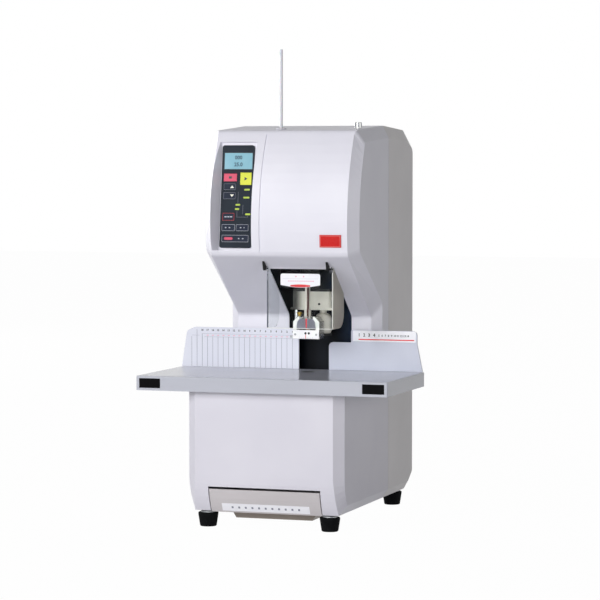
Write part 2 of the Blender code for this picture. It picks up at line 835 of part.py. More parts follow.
def toe_setback(height):
    """Setback of the lower casing's front, which curves back at its foot."""
    drop = CASE_BOTTOM + TOE_HEIGHT - height
    if drop <= 0:
        return CASE_FRONT
    radius = (TOE_HEIGHT**2 + TOE_BACK**2) / (2 * TOE_BACK)
    return CASE_FRONT + radius - math.sqrt(radius**2 - drop**2)


BROW_HEIGHT = CASE_TOP - BROW_DROP
BROW_SETBACK = head_curve(BROW_HEIGHT)


def head_top(setback):
    """Height of the head's top, which falls a little towards the front."""
    share = (SEAM_SETBACK - setback) / (SEAM_SETBACK - BROW_SETBACK)
    return CASE_TOP - BROW_DROP * share


TOP_LEAN = math.atan2(BROW_DROP, SEAM_SETBACK - BROW_SETBACK)
FRONT_EDGE = HALF_CASE - FRONT_CHAMFER_ACROSS
TOP_EDGE = HALF_CASE - TOP_CHAMFER_ACROSS


def make_head_cover():
    steps = HEAD_CURVE_STEPS
    rim_top = HEAD_CURVE_TOP - TOP_CHAMFER_DOWN
    rim_bottom = HEAD_CURVE_BOTTOM + NOSE_CHAMFER_UP
    rim_brow = BROW_HEIGHT - TOP_CHAMFER_DOWN
    ridge = [((TOP_EDGE, SEAM_SETBACK, CASE_TOP), 0),
             (((TOP_EDGE + FRONT_EDGE) / 2, BROW_SETBACK, BROW_HEIGHT), BROW_RADIUS)]
    rim = [((HALF_CASE, SEAM_SETBACK, CASE_TOP - TOP_CHAMFER_DOWN), 0),
           ((HALF_CASE, head_curve(rim_brow) + HEAD_CHAMFER_BACK, rim_brow), BROW_RADIUS)]
    for step in range(steps + 1):
        share = step / steps
        height = HEAD_CURVE_TOP + (HEAD_CURVE_BOTTOM - HEAD_CURVE_TOP) * share
        ridge.append(((FRONT_EDGE, head_curve(height), height), 0))
        height = rim_top + (rim_bottom - rim_top) * share
        rim.append(((HALF_CASE, head_curve(height) + HEAD_CHAMFER_BACK, height), 0))
    ridge += [((FRONT_EDGE, NOSE_SETBACK, NOSE_HEIGHT), NOSE_RADIUS),
              ((FRONT_EDGE, COLUMN_SETBACK, COLUMN_CORNER_HEIGHT), COLUMN_CORNER_RADIUS),
              ((FRONT_EDGE, COLUMN_SETBACK, HEAD_BOTTOM), 0)]
    rim += [((HALF_CASE, NOSE_SETBACK + NOSE_CHAMFER_BACK, NOSE_HEIGHT + NOSE_CHAMFER_UP),
             NOSE_RADIUS),
            ((HALF_CASE, COLUMN_SETBACK + COLUMN_CHAMFER_BACK,
              COLUMN_CORNER_HEIGHT + COLUMN_CHAMFER_UP), COLUMN_CORNER_RADIUS),
            ((HALF_CASE, COLUMN_SETBACK + COLUMN_CHAMFER_BACK, HEAD_BOTTOM), 0)]
    cover = loft_shell("head_cover", filleted(ridge), filleted(rim),
                       [(SEAM_SETBACK, HEAD_BOTTOM)], COVER_WALL, "casing")

    # Throat in the sloping underside and the column
    cut(cover, box((THROAT_LEFT, CASE_FRONT, HEAD_BOTTOM - OVERRUN),
                   (THROAT_RIGHT, COLUMN_SETBACK + COVER_WALL + OVERRUN, THROAT_TOP)))

    # Recess for the control panel: a block behind the curved front, then the cut
    reach = PANEL_HEIGHT / 2 + POCKET_MARGIN + POCKET_WALL
    floor = PANEL_THICKNESS + GAP
    low = panel_point(floor + POCKET_WALL, -reach)
    high = panel_point(floor + POCKET_WALL, reach)
    front = []
    for step in range(steps + 1):
        height = low[1] + (high[1] - low[1]) * step / steps
        front.append((head_curve(height) + COVER_WALL / 2, height))
    right = PANEL_WIDTH / 2 + POCKET_MARGIN
    join(cover, prism([low] + front + [high], -FRONT_EDGE,
                      PANEL_ACROSS + right + POCKET_WALL, "X"))
    left = -PANEL_WIDTH / 2 - POCKET_LEFT_MARGIN
    lean = (POCKET_FRONT_REACH + floor) * POCKET_LEFT_SLOPE
    half = PANEL_HEIGHT / 2 + POCKET_MARGIN
    cut(cover, prism([(left, floor), (right, floor), (right, -POCKET_FRONT_REACH),
                      (left - lean, -POCKET_FRONT_REACH)], -half, half, "Z"), PANEL_PLANE)
    half_across = PANEL_WIDTH / 2 - POCKET_LEDGE
    half_along = PANEL_HEIGHT / 2 - POCKET_LEDGE
    cut(cover, box((-half_across, 0, -half_along),
                   (half_across, floor + POCKET_WALL + OVERRUN, half_along)), PANEL_PLANE)

    # Groove down the front
    groove = [(HEAD_NOSE_SETBACK - OVERRUN, HEAD_CURVE_TOP),
              (HEAD_NOSE_SETBACK - OVERRUN, HEAD_CURVE_BOTTOM)]
    for step in range(steps + 1):
        height = HEAD_CURVE_BOTTOM + (HEAD_CURVE_TOP - HEAD_CURVE_BOTTOM) * step / steps
        groove.append((head_curve(height) + GROOVE_DEPTH, height))
    cut(cover, prism(groove, GROOVE_ACROSS - GROOVE_WIDTH / 2,
                     GROOVE_ACROSS + GROOVE_WIDTH / 2, "X"))

    # Holes in the top for the tube's bush and the knob's stem
    cut(cover, rod((TUBE_ACROSS, TUBE_SETBACK), BUSH_RADIUS + BUSH_SLACK,
                   BROW_HEIGHT - BUSH_LENGTH, CASE_TOP + OVERRUN))
    cut(cover, rod((KNOB_ACROSS, KNOB_SETBACK), KNOB_STEM_RADIUS + GAP,
                   BROW_HEIGHT - KNOB_STEM_LENGTH, CASE_TOP + OVERRUN, sides=SMALL_SIDES))


def panel_point(inward, along):
    """Setback and height of a point given on the leaning panel plane."""
    return (PANEL_SETBACK + inward * math.cos(PANEL_TILT) + along * math.sin(PANEL_TILT),
            PANEL_MIDDLE - inward * math.sin(PANEL_TILT) + along * math.cos(PANEL_TILT))


def make_lower_cover():
    toe_top = CASE_BOTTOM + TOE_HEIGHT
    rim_front = CASE_FRONT + FRONT_CHAMFER_BACK
    rim_bottom = CASE_BOTTOM + BOTTOM_CHAMFER_UP
    ridge = [((FRONT_EDGE, SEAM_SETBACK, LOWER_TOP), 0),
             ((FRONT_EDGE, CASE_FRONT, LOWER_TOP), 0)]
    rim = [((HALF_CASE, SEAM_SETBACK, LOWER_TOP), 0), ((HALF_CASE, rim_front, LOWER_TOP), 0)]
    for step in range(TOE_STEPS + 1):
        share = step / TOE_STEPS
        height = toe_top - TOE_HEIGHT * share
        edge = FRONT_EDGE + (TOP_EDGE - FRONT_EDGE) * share
        back = toe_setback(height) - CASE_FRONT
        ridge.append(((edge, CASE_FRONT + back, height), 0))
        rim.append(((HALF_CASE, rim_front + back, toe_top + (rim_bottom - toe_top) * share), 0))
    ridge.append(((TOP_EDGE, SEAM_SETBACK, CASE_BOTTOM), 0))
    rim.append(((HALF_CASE, SEAM_SETBACK, rim_bottom), 0))
    cover = loft_shell("lower_front_cover", filleted(ridge), filleted(rim), [],
                       COVER_WALL, "casing")
    opening = DRAWER_HALF_WIDTH + DRAWER_SLIT
    cut(cover, box((-opening, CASE_FRONT - OVERRUN, CASE_BOTTOM - OVERRUN),
                   (opening, BASE_FRONT + OVERRUN,
                    DRAWER_BOTTOM + DRAWER_HEIGHT + DRAWER_TOP_SLIT)))
    side = HALF_CASE - COVER_FLANGE
    cut(cover, box((-side, BASE_FRONT + FRONT_LIP, CASE_BOTTOM - OVERRUN),
                   (side, SEAM_SETBACK + OVERRUN, BASE_TOP)))
    cut(cover, box((FRAME_LEFT - FRAME_SLACK, LINER_BACK + FRAME_SLACK / 2,
                    LOWER_TOP - COVER_WALL - OVERRUN),
                   (FRAME_RIGHT + FRAME_SLACK, SEAM_SETBACK + OVERRUN, LOWER_TOP + OVERRUN)))
    cut(cover, rod((TOOL_ACROSS, TOOL_SETBACK), BOSS_RADIUS + GAP,
                   LOWER_TOP - COVER_WALL - OVERRUN, LOWER_TOP + OVERRUN))


def make_rear_cover():
    top = CASE_TOP - REAR_TOP_DROP
    inset = REAR_CHAMFER
    drop, lift = TOP_CHAMFER_DOWN, BOTTOM_CHAMFER_UP
    ridge = [((TOP_EDGE, REAR_SEAM, CASE_TOP), 0),
             ((TOP_EDGE, REAR_TOP_SETBACK, top), REAR_SHOULDER_RADIUS),
             ((TOP_EDGE, CASE_BACK, REAR_SHOULDER_HEIGHT), REAR_SHOULDER_RADIUS),
             ((TOP_EDGE, CASE_BACK, REAR_KICK_HEIGHT), REAR_KICK_RADIUS),
             ((TOP_EDGE, REAR_KICK_SETBACK, CASE_BOTTOM), REAR_KICK_RADIUS),
             ((TOP_EDGE, REAR_SEAM, CASE_BOTTOM), 0)]
    rim = [((HALF_CASE, REAR_SEAM, CASE_TOP - drop), 0),
           ((HALF_CASE, REAR_TOP_SETBACK - inset, top - drop), REAR_SHOULDER_RADIUS),
           ((HALF_CASE, CASE_BACK - inset, REAR_SHOULDER_HEIGHT - inset), REAR_SHOULDER_RADIUS),
           ((HALF_CASE, CASE_BACK - inset, REAR_KICK_HEIGHT + inset), REAR_KICK_RADIUS),
           ((HALF_CASE, REAR_KICK_SETBACK - inset, CASE_BOTTOM + lift), REAR_KICK_RADIUS),
           ((HALF_CASE, REAR_SEAM, CASE_BOTTOM + lift), 0)]
    cover = loft_shell("rear_cover", filleted(ridge), filleted(rim), [],
                       COVER_WALL, "rear_casing")
    side = HALF_CASE - COVER_FLANGE
    cut(cover, box((-side, REAR_SEAM - OVERRUN, CASE_BOTTOM - OVERRUN),
                   (side, BASE_BACK + REAR_LIP, BASE_BOTTOM)))
    louvres = []
    for index in range(LOUVRE_COUNT):
        height = LOUVRE_FIRST_HEIGHT + index * LOUVRE_PITCH
        louvres.append(box((-LOUVRE_LENGTH / 2, CASE_BACK - COVER_WALL - OVERRUN, height),
                           (LOUVRE_LENGTH / 2, CASE_BACK + OVERRUN, height + LOUVRE_HEIGHT)))
    cut(cover, merged(louvres))
    across, along = INLET_POCKET_HALF_WIDTH, INLET_POCKET_HALF_HEIGHT
    floor = CASE_BACK - INLET_POCKET_DEPTH
    join(cover, box((INLET_ACROSS - across - COVER_WALL, floor - COVER_WALL,
                     INLET_HEIGHT - along - COVER_WALL),
                    (INLET_ACROSS + across + COVER_WALL, CASE_BACK - COVER_WALL / 2,
                     INLET_HEIGHT + along + COVER_WALL)))
    cut(cover, box((INLET_ACROSS - across, floor, INLET_HEIGHT - along),
                   (INLET_ACROSS + across, CASE_BACK + OVERRUN, INLET_HEIGHT + along)))
    across, along = INLET_BODY_HALF_WIDTH + GAP, INLET_BODY_HALF_HEIGHT + GAP
    cut(cover, box((INLET_ACROSS - across, floor - COVER_WALL - OVERRUN, INLET_HEIGHT - along),
                   (INLET_ACROSS + across, CASE_BACK, INLET_HEIGHT + along)))


make_head_cover()
make_lower_cover()
make_rear_cover()

# ---- Paper table with its aprons, end caps and cutting pad


def open_tray(low, high):
    """A box without its underside and back, to be given a wall thickness."""
    mesh = box(low, high)
    work = bmesh.new()
    work.from_mesh(mesh)
    spare = [face for face in work.faces if face.normal.z < -0.5 or face.normal.y > 0.5]
    bmesh.ops.delete(work, geom=spare, context="FACES")
    work.to_mesh(mesh)
    work.free()
    return mesh


table = piece("work_table", open_tray((-HALF_TABLE, 0, TABLE_TOP - APRON_HEIGHT),
                                      (HALF_TABLE, TABLE_DEPTH, TABLE_TOP)), "table")
round_edges(table, TABLE_EDGE_RADIUS)
sheet = table.modifiers.new("sheet", "SOLIDIFY")
sheet.thickness = TABLE_PLATE
sheet.offset = -1
sheet.use_even_offset = True
cut(table, rod((TOOL_ACROSS, TOOL_SETBACK), PAD_RADIUS + GAP, PLATE_BOTTOM - OVERRUN,
               TABLE_TOP + OVERRUN))

cap_middle = TABLE_TOP - APRON_HEIGHT / 2
for side, sign in (("left", -1), ("right", 1)):
    centre = sign * (HALF_TABLE - CAP_INSET - CAP_WIDTH / 2)
    half, tall = CAP_WIDTH / 2, CAP_HEIGHT / 2
    back = TABLE_PLATE + GAP
    cut(table, box((centre - half - GAP, -OVERRUN, cap_middle - tall - GAP),
                   (centre + half + GAP, TABLE_PLATE + OVERRUN, cap_middle + tall + GAP)))
    cap = piece(f"apron_cap_{side}",
                box((centre - half, GAP, cap_middle - tall),
                    (centre + half, back + EMBED, cap_middle + tall)), "black_plastic")
    join(cap, box((centre - half - CAP_LIP, back, cap_middle - tall - CAP_LIP),
                  (centre + half + CAP_LIP, back + CAP_LIP_THICKNESS,
                   cap_middle + tall + CAP_LIP)))

pad_bottom = TABLE_TOP - PAD_HEIGHT
pad_profile = [(0, TABLE_TOP - PAD_DISH), (PAD_RADIUS * 0.6, TABLE_TOP - PAD_DISH),
               (PAD_RADIUS * 0.75, TABLE_TOP), (PAD_RADIUS, TABLE_TOP),
               (PAD_RADIUS, pad_bottom), (0, pad_bottom)]
piece("drill_pad", moved(turned(pad_profile), TOOL_ACROSS, TOOL_SETBACK), "black_plastic")

# ---- Fences behind the table, and the bars that tie them to the column

end_top = TABLE_TOP + FENCE_END_HEIGHT
left_end = -HALF_TABLE + FENCE_END_SLOPE
left_outline = [((-HALF_TABLE, FENCE_BOTTOM), 0), ((LEFT_FENCE_INNER, FENCE_BOTTOM), 0),
                ((LEFT_FENCE_INNER, FENCE_TOP), FENCE_CORNER_RADIUS / 2),
                ((left_end + FENCE_SHOULDER, FENCE_TOP), FENCE_CORNER_RADIUS),
                ((left_end, end_top), FENCE_CORNER_RADIUS)]
right_end = HALF_TABLE - RIGHT_FENCE_CUT_BACK
step_top = TABLE_TOP + RIGHT_STEP_HEIGHT
right_outline = [((RIGHT_FENCE_INNER, FENCE_BOTTOM), 0),
                 ((HALF_TABLE - FENCE_THICKNESS / 2, FENCE_BOTTOM), 0),
                 ((right_end, step_top), FENCE_CORNER_RADIUS),
                 ((right_end, FENCE_TOP), FENCE_CORNER_RADIUS),
                 ((RIGHT_STEP_ACROSS, FENCE_TOP), FENCE_CORNER_RADIUS / 4),
                 ((RIGHT_STEP_ACROSS, step_top), 0),
                 ((RIGHT_FENCE_INNER, step_top), FENCE_CORNER_RADIUS)]
piece("left_fence", prism(filleted(left_outline, closed=True), FENCE_SETBACK,
                          FENCE_BACK, "Y"), "fence")
piece("right_fence", prism(filleted(right_outline, closed=True), FENCE_SETBACK,
                           FENCE_BACK, "Y"), "fence")
bar_bottom = TABLE_TOP + FENCE_BAR_LIFT
for side, start, end in (("left", FENCE_BAR_LEFT_END, FENCE_BAR_LEFT_START),
                         ("right", FENCE_BAR_RIGHT_START, FENCE_BAR_RIGHT_END)):
    bar = piece(f"{side}_fence_bracket",
                box((start, FENCE_BACK + GAP, bar_bottom),
                    (end, COLUMN_SETBACK - GAP, bar_bottom + FENCE_BAR_HEIGHT)),
                "black_plastic")
    round_edges(bar, FENCE_BAR_LIFT / 2)

# ---- Base plate, feet and drawer runners

outline = [(-BASE_HALF_WIDTH, BASE_FRONT), (-BASE_SLOT_HALF_WIDTH, BASE_FRONT),
           (-BASE_SLOT_HALF_WIDTH, BASE_SLOT_BACK), (BASE_SLOT_HALF_WIDTH, BASE_SLOT_BACK),
           (BASE_SLOT_HALF_WIDTH, BASE_FRONT), (BASE_HALF_WIDTH, BASE_FRONT),
           (BASE_HALF_WIDTH, BASE_BACK), (-BASE_HALF_WIDTH, BASE_BACK)]
base = piece("base_plate", prism(outline, BASE_BOTTOM, BASE_TOP, "Z"), "zinc")
foot_profile = [(0, BASE_TOP - EMBED), (STUD_RADIUS, BASE_TOP - EMBED),
                (STUD_RADIUS, FOOT_HEIGHT), (FOOT_TOP_RADIUS - EMBED, FOOT_HEIGHT),
                (FOOT_TOP_RADIUS, FOOT_HEIGHT - EMBED),
                (FOOT_TOP_RADIUS, FOOT_HEIGHT - FOOT_RIM),
                (FOOT_BOTTOM_RADIUS + EMBED, FOOT_RIM / 2),
                (FOOT_BOTTOM_RADIUS, 0), (0, 0)]
for row, setback in (("front", FOOT_FRONT_SETBACK), ("rear", FOOT_REAR_SETBACK)):
    for side, sign in (("left", -1), ("right", 1)):
        spot = (sign * FOOT_ACROSS, setback)
        join(base, rod(spot, NUT_RADIUS, FOOT_HEIGHT + GAP, BASE_BOTTOM + EMBED, sides=6))
        cut(base, rod(spot, STUD_RADIUS + GAP, FOOT_HEIGHT, BASE_TOP + OVERRUN,
                      sides=SMALL_SIDES))
        piece(f"foot_{row}_{side}", moved(turned(foot_profile), *spot), "rubber")

web = TRAY_HALF_WIDTH + TRAY_FLANGE + RUNNER_GAP
ledge = web - RUNNER_REACH
ledge_top = RUNNER_LEDGE_HEIGHT + RUNNER_SHEET
lip_bottom = ledge_top + 2 * GAP + TRAY_FLANGE_THICKNESS
runner_bottom = BASE_TOP + GAP
runner = [(web, runner_bottom), (web + RUNNER_SHEET + RUNNER_FOOT, runner_bottom),
          (web + RUNNER_SHEET + RUNNER_FOOT, runner_bottom + RUNNER_SHEET),
          (web + RUNNER_SHEET, runner_bottom + RUNNER_SHEET),
          (web + RUNNER_SHEET, lip_bottom + RUNNER_SHEET), (ledge, lip_bottom + RUNNER_SHEET),
          (ledge, lip_bottom), (web, lip_bottom), (web, ledge_top), (ledge, ledge_top),
          (ledge, RUNNER_LEDGE_HEIGHT), (web, RUNNER_LEDGE_HEIGHT)]
for side, sign in (("left", -1), ("right", 1)):
    piece(f"drawer_runner_{side}",
          prism([(sign * across, height) for across, height in runner], RUNNER_FRONT,
                BASE_SLOT_BACK - RUNNER_SHEET, "Y"), "zinc")

# ---- Drawer: leaning front, tray and the deep well for the chips


def toe_path(low, high, inward):
    path = []
    for step in range(TOE_STEPS + 1):
        height = low + (high - low) * step / TOE_STEPS
        path.append((toe_setback(height) + inward, height))
    return path


drawer_top = DRAWER_BOTTOM + DRAWER_HEIGHT
front = toe_path(DRAWER_BOTTOM, drawer_top, 0)
back = toe_path(DRAWER_BOTTOM, drawer_top, DRAWER_FRONT_THICKNESS)
drawer = piece("chip_drawer", prism(front + back[::-1], -DRAWER_HALF_WIDTH,
                                    DRAWER_HALF_WIDTH, "X"), "casing",
               origin=(0, CASE_FRONT, DRAWER_BOTTOM))
label_low = DRAWER_BOTTOM + DRAWER_LABEL_LIFT
label_high = label_low + DRAWER_LABEL_HEIGHT
label = (toe_path(label_low, label_high, DRAWER_LABEL_DEPTH)
         + toe_path(label_low, label_high, -OVERRUN)[::-1])
cut(drawer, prism(label, -DRAWER_LABEL_HALF_WIDTH, DRAWER_LABEL_HALF_WIDTH, "X"))
tray_front = toe_path(TRAY_FLOOR, TRAY_TOP, DRAWER_FRONT_THICKNESS - EMBED)
join(drawer, prism(tray_front + [(TRAY_BACK, TRAY_TOP), (TRAY_BACK, TRAY_FLOOR)],
                   -TRAY_HALF_WIDTH, TRAY_HALF_WIDTH, "X"))
ledge_bottom = ledge_top + GAP
flange = TRAY_HALF_WIDTH + TRAY_FLANGE
join(drawer, box((-flange, BASE_FRONT, ledge_bottom),
                 (flange, TRAY_BACK, ledge_bottom + TRAY_FLANGE_THICKNESS)))
well = [(-WELL_TOP_HALF_WIDTH, TRAY_FLOOR + EMBED), (-WELL_BOTTOM_HALF_WIDTH, WELL_BOTTOM),
        (WELL_BOTTOM_HALF_WIDTH, WELL_BOTTOM), (WELL_TOP_HALF_WIDTH, TRAY_FLOOR + EMBED)]
join(drawer, prism(well, WELL_FRONT, WELL_BACK, "Y"))
floor = TRAY_FLOOR + TRAY_WALL
tray_front = toe_path(floor, TRAY_TOP + OVERRUN, DRAWER_FRONT_THICKNESS + TRAY_WALL)
inner = TRAY_HALF_WIDTH - TRAY_WALL
cut(drawer, prism(tray_front + [(TRAY_BACK - TRAY_WALL, TRAY_TOP + OVERRUN),
                                (TRAY_BACK - TRAY_WALL, floor)], -inner, inner, "X"))
well = [(-WELL_TOP_HALF_WIDTH + TRAY_WALL, floor + EMBED),
        (-WELL_BOTTOM_HALF_WIDTH + TRAY_WALL, WELL_BOTTOM + TRAY_WALL),
        (WELL_BOTTOM_HALF_WIDTH - TRAY_WALL, WELL_BOTTOM + TRAY_WALL),
        (WELL_TOP_HALF_WIDTH - TRAY_WALL, floor + EMBED)]
cut(drawer, prism(well, WELL_FRONT + TRAY_WALL, WELL_BACK - TRAY_WALL, "Y"))

# ---- Machine frame: a C-shaped casting with lugs for the guide rods

arm_left = TOOL_ACROSS - FRAME_ARM_HALF_WIDTH
arm_right = TOOL_ACROSS + FRAME_ARM_HALF_WIDTH
frame_bottom = BASE_TOP + GAP
foot_top = frame_bottom + FRAME_FOOT_HEIGHT
profile = [((FRAME_FOOT_FRONT, frame_bottom), 0), ((FRAME_FOOT_BACK, frame_bottom), 0),
           ((FRAME_FOOT_BACK, foot_top), 0), ((SPINE_BACK, foot_top), FRAME_FILLET),
           ((SPINE_BACK, FRAME_TOP), 0), ((FRAME_SPINE_SETBACK, FRAME_TOP), 0),
           ((FRAME_SPINE_SETBACK, FRAME_ARM_TOP), 0),
           ((FRAME_ARM_FRONT, FRAME_ARM_TOP), FRAME_WEB / 4),
           ((FRAME_ARM_FRONT, FRAME_ARM_BOTTOM), FRAME_FILLET),
           ((FRAME_SPINE_SETBACK, FRAME_ARM_BOTTOM), FRAME_FILLET),
           ((FRAME_SPINE_SETBACK, foot_top), FRAME_FILLET),
           ((FRAME_FOOT_FRONT, foot_top), 0)]
frame = piece("main_frame", prism(filleted(profile, closed=True), arm_left, arm_right, "X"),
              "frame")
join(frame, box((FRAME_LEFT, FRAME_SPINE_SETBACK, frame_bottom),
                (FRAME_RIGHT, SPINE_BACK, FRAME_TOP)))
join(frame, box((FRAME_LEFT, FRAME_FOOT_FRONT, frame_bottom),
                (FRAME_RIGHT, FRAME_FOOT_BACK, foot_top)))
join(frame, box((FRAME_LEFT, FRAME_LUG_FRONT, FRAME_LUG_BOTTOM),
                (FRAME_RIGHT, FRAME_SPINE_SETBACK + EMBED, FRAME_LUG_BOTTOM + FRAME_LUG_HEIGHT)))
join(frame, box((FRAME_LEFT, FRAME_TOP_FRONT, FRAME_TOP - FRAME_TOP_PLATE),
                (FRAME_RIGHT, FRAME_SPINE_SETBACK + EMBED, FRAME_TOP)))
join(frame, rod((TOOL_ACROSS, TOOL_SETBACK), BOSS_RADIUS, FRAME_ARM_TOP - EMBED,
                pad_bottom - GAP))
window = FRAME_WINDOW_HALF_WIDTH
cut(frame, rounded_box((TOOL_ACROSS - window, FRAME_SPINE_SETBACK - OVERRUN,
                        FRAME_WINDOW_BOTTOM),
                       (TOOL_ACROSS + window, SPINE_BACK + OVERRUN, FRAME_WINDOW_TOP),
                       FRAME_FILLET / 2, "Y"))
join(frame, box((FEED_PLATE_LEFT, FEED_PLATE_SETBACK, FEED_PLATE_BOTTOM),
                (FEED_PLATE_RIGHT, FEED_PLATE_SETBACK + FEED_PLATE_THICKNESS,
                 FEED_PLATE_TOP)))
join(frame, box((FEED_ARM_LEFT, FEED_PLATE_SETBACK + FEED_PLATE_THICKNESS - EMBED,
                 FRAME_TOP - FRAME_TOP_PLATE + EMBED),
                (FEED_ARM_RIGHT, FRAME_TOP_FRONT + EMBED, FRAME_TOP - EMBED)))
for across, radius in ((ROD_LEFT, ROD_RADIUS), (ROD_RIGHT, ROD_RADIUS),
                       (TOOL_ACROSS, SCREW_JOURNAL_RADIUS)):
    cut(frame, rod((across, ROD_SETBACK), radius + GAP, FRAME_LUG_BOTTOM - OVERRUN,
                   FRAME_TOP + OVERRUN, sides=SMALL_SIDES + 8))
for side, across in (("left", ROD_LEFT), ("right", ROD_RIGHT)):
    piece(f"guide_rod_{side}", rod((across, ROD_SETBACK), ROD_RADIUS,
                                   FRAME_LUG_BOTTOM + GAP, FRAME_TOP - GAP,
                                   sides=SMALL_SIDES + 8), "steel")

screw_profile = [(0, FRAME_TOP - EMBED), (SCREW_JOURNAL_RADIUS, FRAME_TOP - EMBED),
                 (SCREW_JOURNAL_RADIUS, SCREW_TOP), (SCREW_RADIUS, SCREW_TOP),
                 (SCREW_RADIUS, SCREW_BOTTOM), (SCREW_JOURNAL_RADIUS, SCREW_BOTTOM),
                 (SCREW_JOURNAL_RADIUS, FRAME_LUG_BOTTOM + EMBED),
                 (0, FRAME_LUG_BOTTOM + EMBED)]
piece("lead_screw", moved(turned(screw_profile, SMALL_SIDES + 8), TOOL_ACROSS, ROD_SETBACK),
      "steel", origin=(TOOL_ACROSS, ROD_SETBACK, SCREW_BOTTOM))
motor_bottom = FRAME_TOP + GAP
motor_top = motor_bottom + LIFT_MOTOR_HEIGHT
motor_rim = LIFT_MOTOR_RADIUS - MOTOR_STEP
motor_profile = [(0, motor_top), (motor_rim, motor_top), (motor_rim, motor_top - MOTOR_STEP * 2),
                 (LIFT_MOTOR_RADIUS, motor_top - MOTOR_STEP * 3),
                 (LIFT_MOTOR_RADIUS, motor_bottom), (0, motor_bottom)]
piece("lift_motor", moved(turned(motor_profile), TOOL_ACROSS, ROD_SETBACK), "motor")

# ---- Throat liner: a black sheet duct between the fences and the column

slope_cos = math.cos(SLOPE_ANGLE)
slope_sin = abs(math.sin(SLOPE_ANGLE))
inside_left = THROAT_LEFT + GAP
inside_right = THROAT_RIGHT - GAP
liner_top_front = slope_setback(THROAT_TOP) + COVER_WALL / slope_sin + GAP
margin_up = LINER_MARGIN / slope_cos
column_inside = COLUMN_SETBACK + LINER_MARGIN
liner_side = [((LINER_BACK, HEAD_BOTTOM), 0), ((LINER_BACK, LINER_TOP), 0),
              ((liner_top_front, LINER_TOP), 0),
              ((liner_top_front, slope_height(liner_top_front) + margin_up), 0),
              ((column_inside, slope_height(column_inside) + margin_up), COLUMN_CORNER_RADIUS),
              ((column_inside, HEAD_BOTTOM), 0)]
liner = piece("throat_liner", prism(filleted(liner_side, closed=True), inside_left,
                                    inside_right, "X"), "black_plastic")
cut(liner, box((inside_left + LINER_WALL, liner_top_front - OVERRUN, HEAD_BOTTOM - OVERRUN),
               (inside_right - LINER_WALL, LINER_BACK - LINER_WALL, LINER_TOP + OVERRUN)))
for low, high in ((inside_left + LINER_WALL - EMBED, TOOL_ACROSS - LINER_SLOT_HALF_WIDTH),
                  (TOOL_ACROSS + LINER_SLOT_HALF_WIDTH, inside_right - LINER_WALL + EMBED)):
    join(liner, box((low, LINER_HEADER_SETBACK, LINER_HEADER_BOTTOM),
                    (high, LINER_HEADER_SETBACK + LINER_HEADER_THICKNESS, LINER_TOP)))

# ---- Carriage: the casting that slides on the rods, with motor, belt and spindle

head = piece("drill_head", rounded_box((BLOCK_LEFT, BLOCK_FRONT, BLOCK_BOTTOM),
                                       (BLOCK_RIGHT, BLOCK_BACK, BLOCK_TOP),
                                       BLOCK_CORNER_RADIUS, "Z"),
             "cast", origin=(TOOL_ACROSS, ROD_SETBACK, BLOCK_BOTTOM))
join(head, rounded_box((HOUSING_LEFT, HOUSING_FRONT, HOUSING_BOTTOM + LEDGE_HEIGHT - EMBED),
                       (HOUSING_RIGHT, HOUSING_BACK, BLOCK_BOTTOM + EMBED),
                       HOUSING_RADIUS, "Z"))
join(head, box((HOUSING_LEFT - LEDGE_REACH, HOUSING_FRONT - LEDGE_REACH / 2, HOUSING_BOTTOM),
               (HOUSING_RIGHT + LEDGE_REACH, HOUSING_BACK, HOUSING_BOTTOM + LEDGE_HEIGHT)))
arm_half = SPINDLE_ARM_HALF_WIDTH
join(head, rounded_box((TOOL_ACROSS - arm_half, SPINDLE_ARM_FRONT, SPINDLE_ARM_BOTTOM),
                       (TOOL_ACROSS + arm_half, HOUSING_FRONT + HOUSING_RADIUS + arm_half,
                        SPINDLE_ARM_TOP), arm_half - EMBED, "Z", steps=6))
join(head, box((MOTOR_PLATE_LEFT, MOTOR_PLATE_FRONT, MOTOR_PLATE_BOTTOM),
               (MOTOR_PLATE_RIGHT, BLOCK_FRONT + EMBED,
                MOTOR_PLATE_BOTTOM + MOTOR_PLATE_THICKNESS)))
bores = [rod((across, ROD_SETBACK), radius + GAP, BLOCK_BOTTOM - OVERRUN,
             BLOCK_TOP + OVERRUN, sides=SMALL_SIDES + 8)
         for across, radius in ((ROD_LEFT, ROD_RADIUS), (ROD_RIGHT, ROD_RADIUS),
                                (TOOL_ACROSS, NUT_HUB_RADIUS))]
bores.append(rod((TOOL_ACROSS, TOOL_SETBACK), SPINDLE_BEARING_RADIUS + GAP,
                 SPINDLE_ARM_BOTTOM - OVERRUN, SPINDLE_ARM_TOP + OVERRUN,
                 sides=SMALL_SIDES + 8))
bores.append(rod((MOTOR_ACROSS, MOTOR_SETBACK), MOTOR_SHAFT_HOLE,
                 MOTOR_PLATE_BOTTOM - OVERRUN,
                 MOTOR_PLATE_BOTTOM + MOTOR_PLATE_THICKNESS + OVERRUN, sides=SMALL_SIDES))
pin_rest_top = FOOT_PLATE_BOTTOM + FOOT_PIN_LENGTH
for across in (FOOT_PIN_LEFT, FOOT_PIN_RIGHT):
    bores.append(rod((across, FOOT_PIN_SETBACK), FOOT_PIN_RADIUS + GAP,
                     HOUSING_BOTTOM - OVERRUN, pin_rest_top + FOOT_STROKE + OVERRUN,
                     sides=SMALL_SIDES))
cut(head, merged(bores))

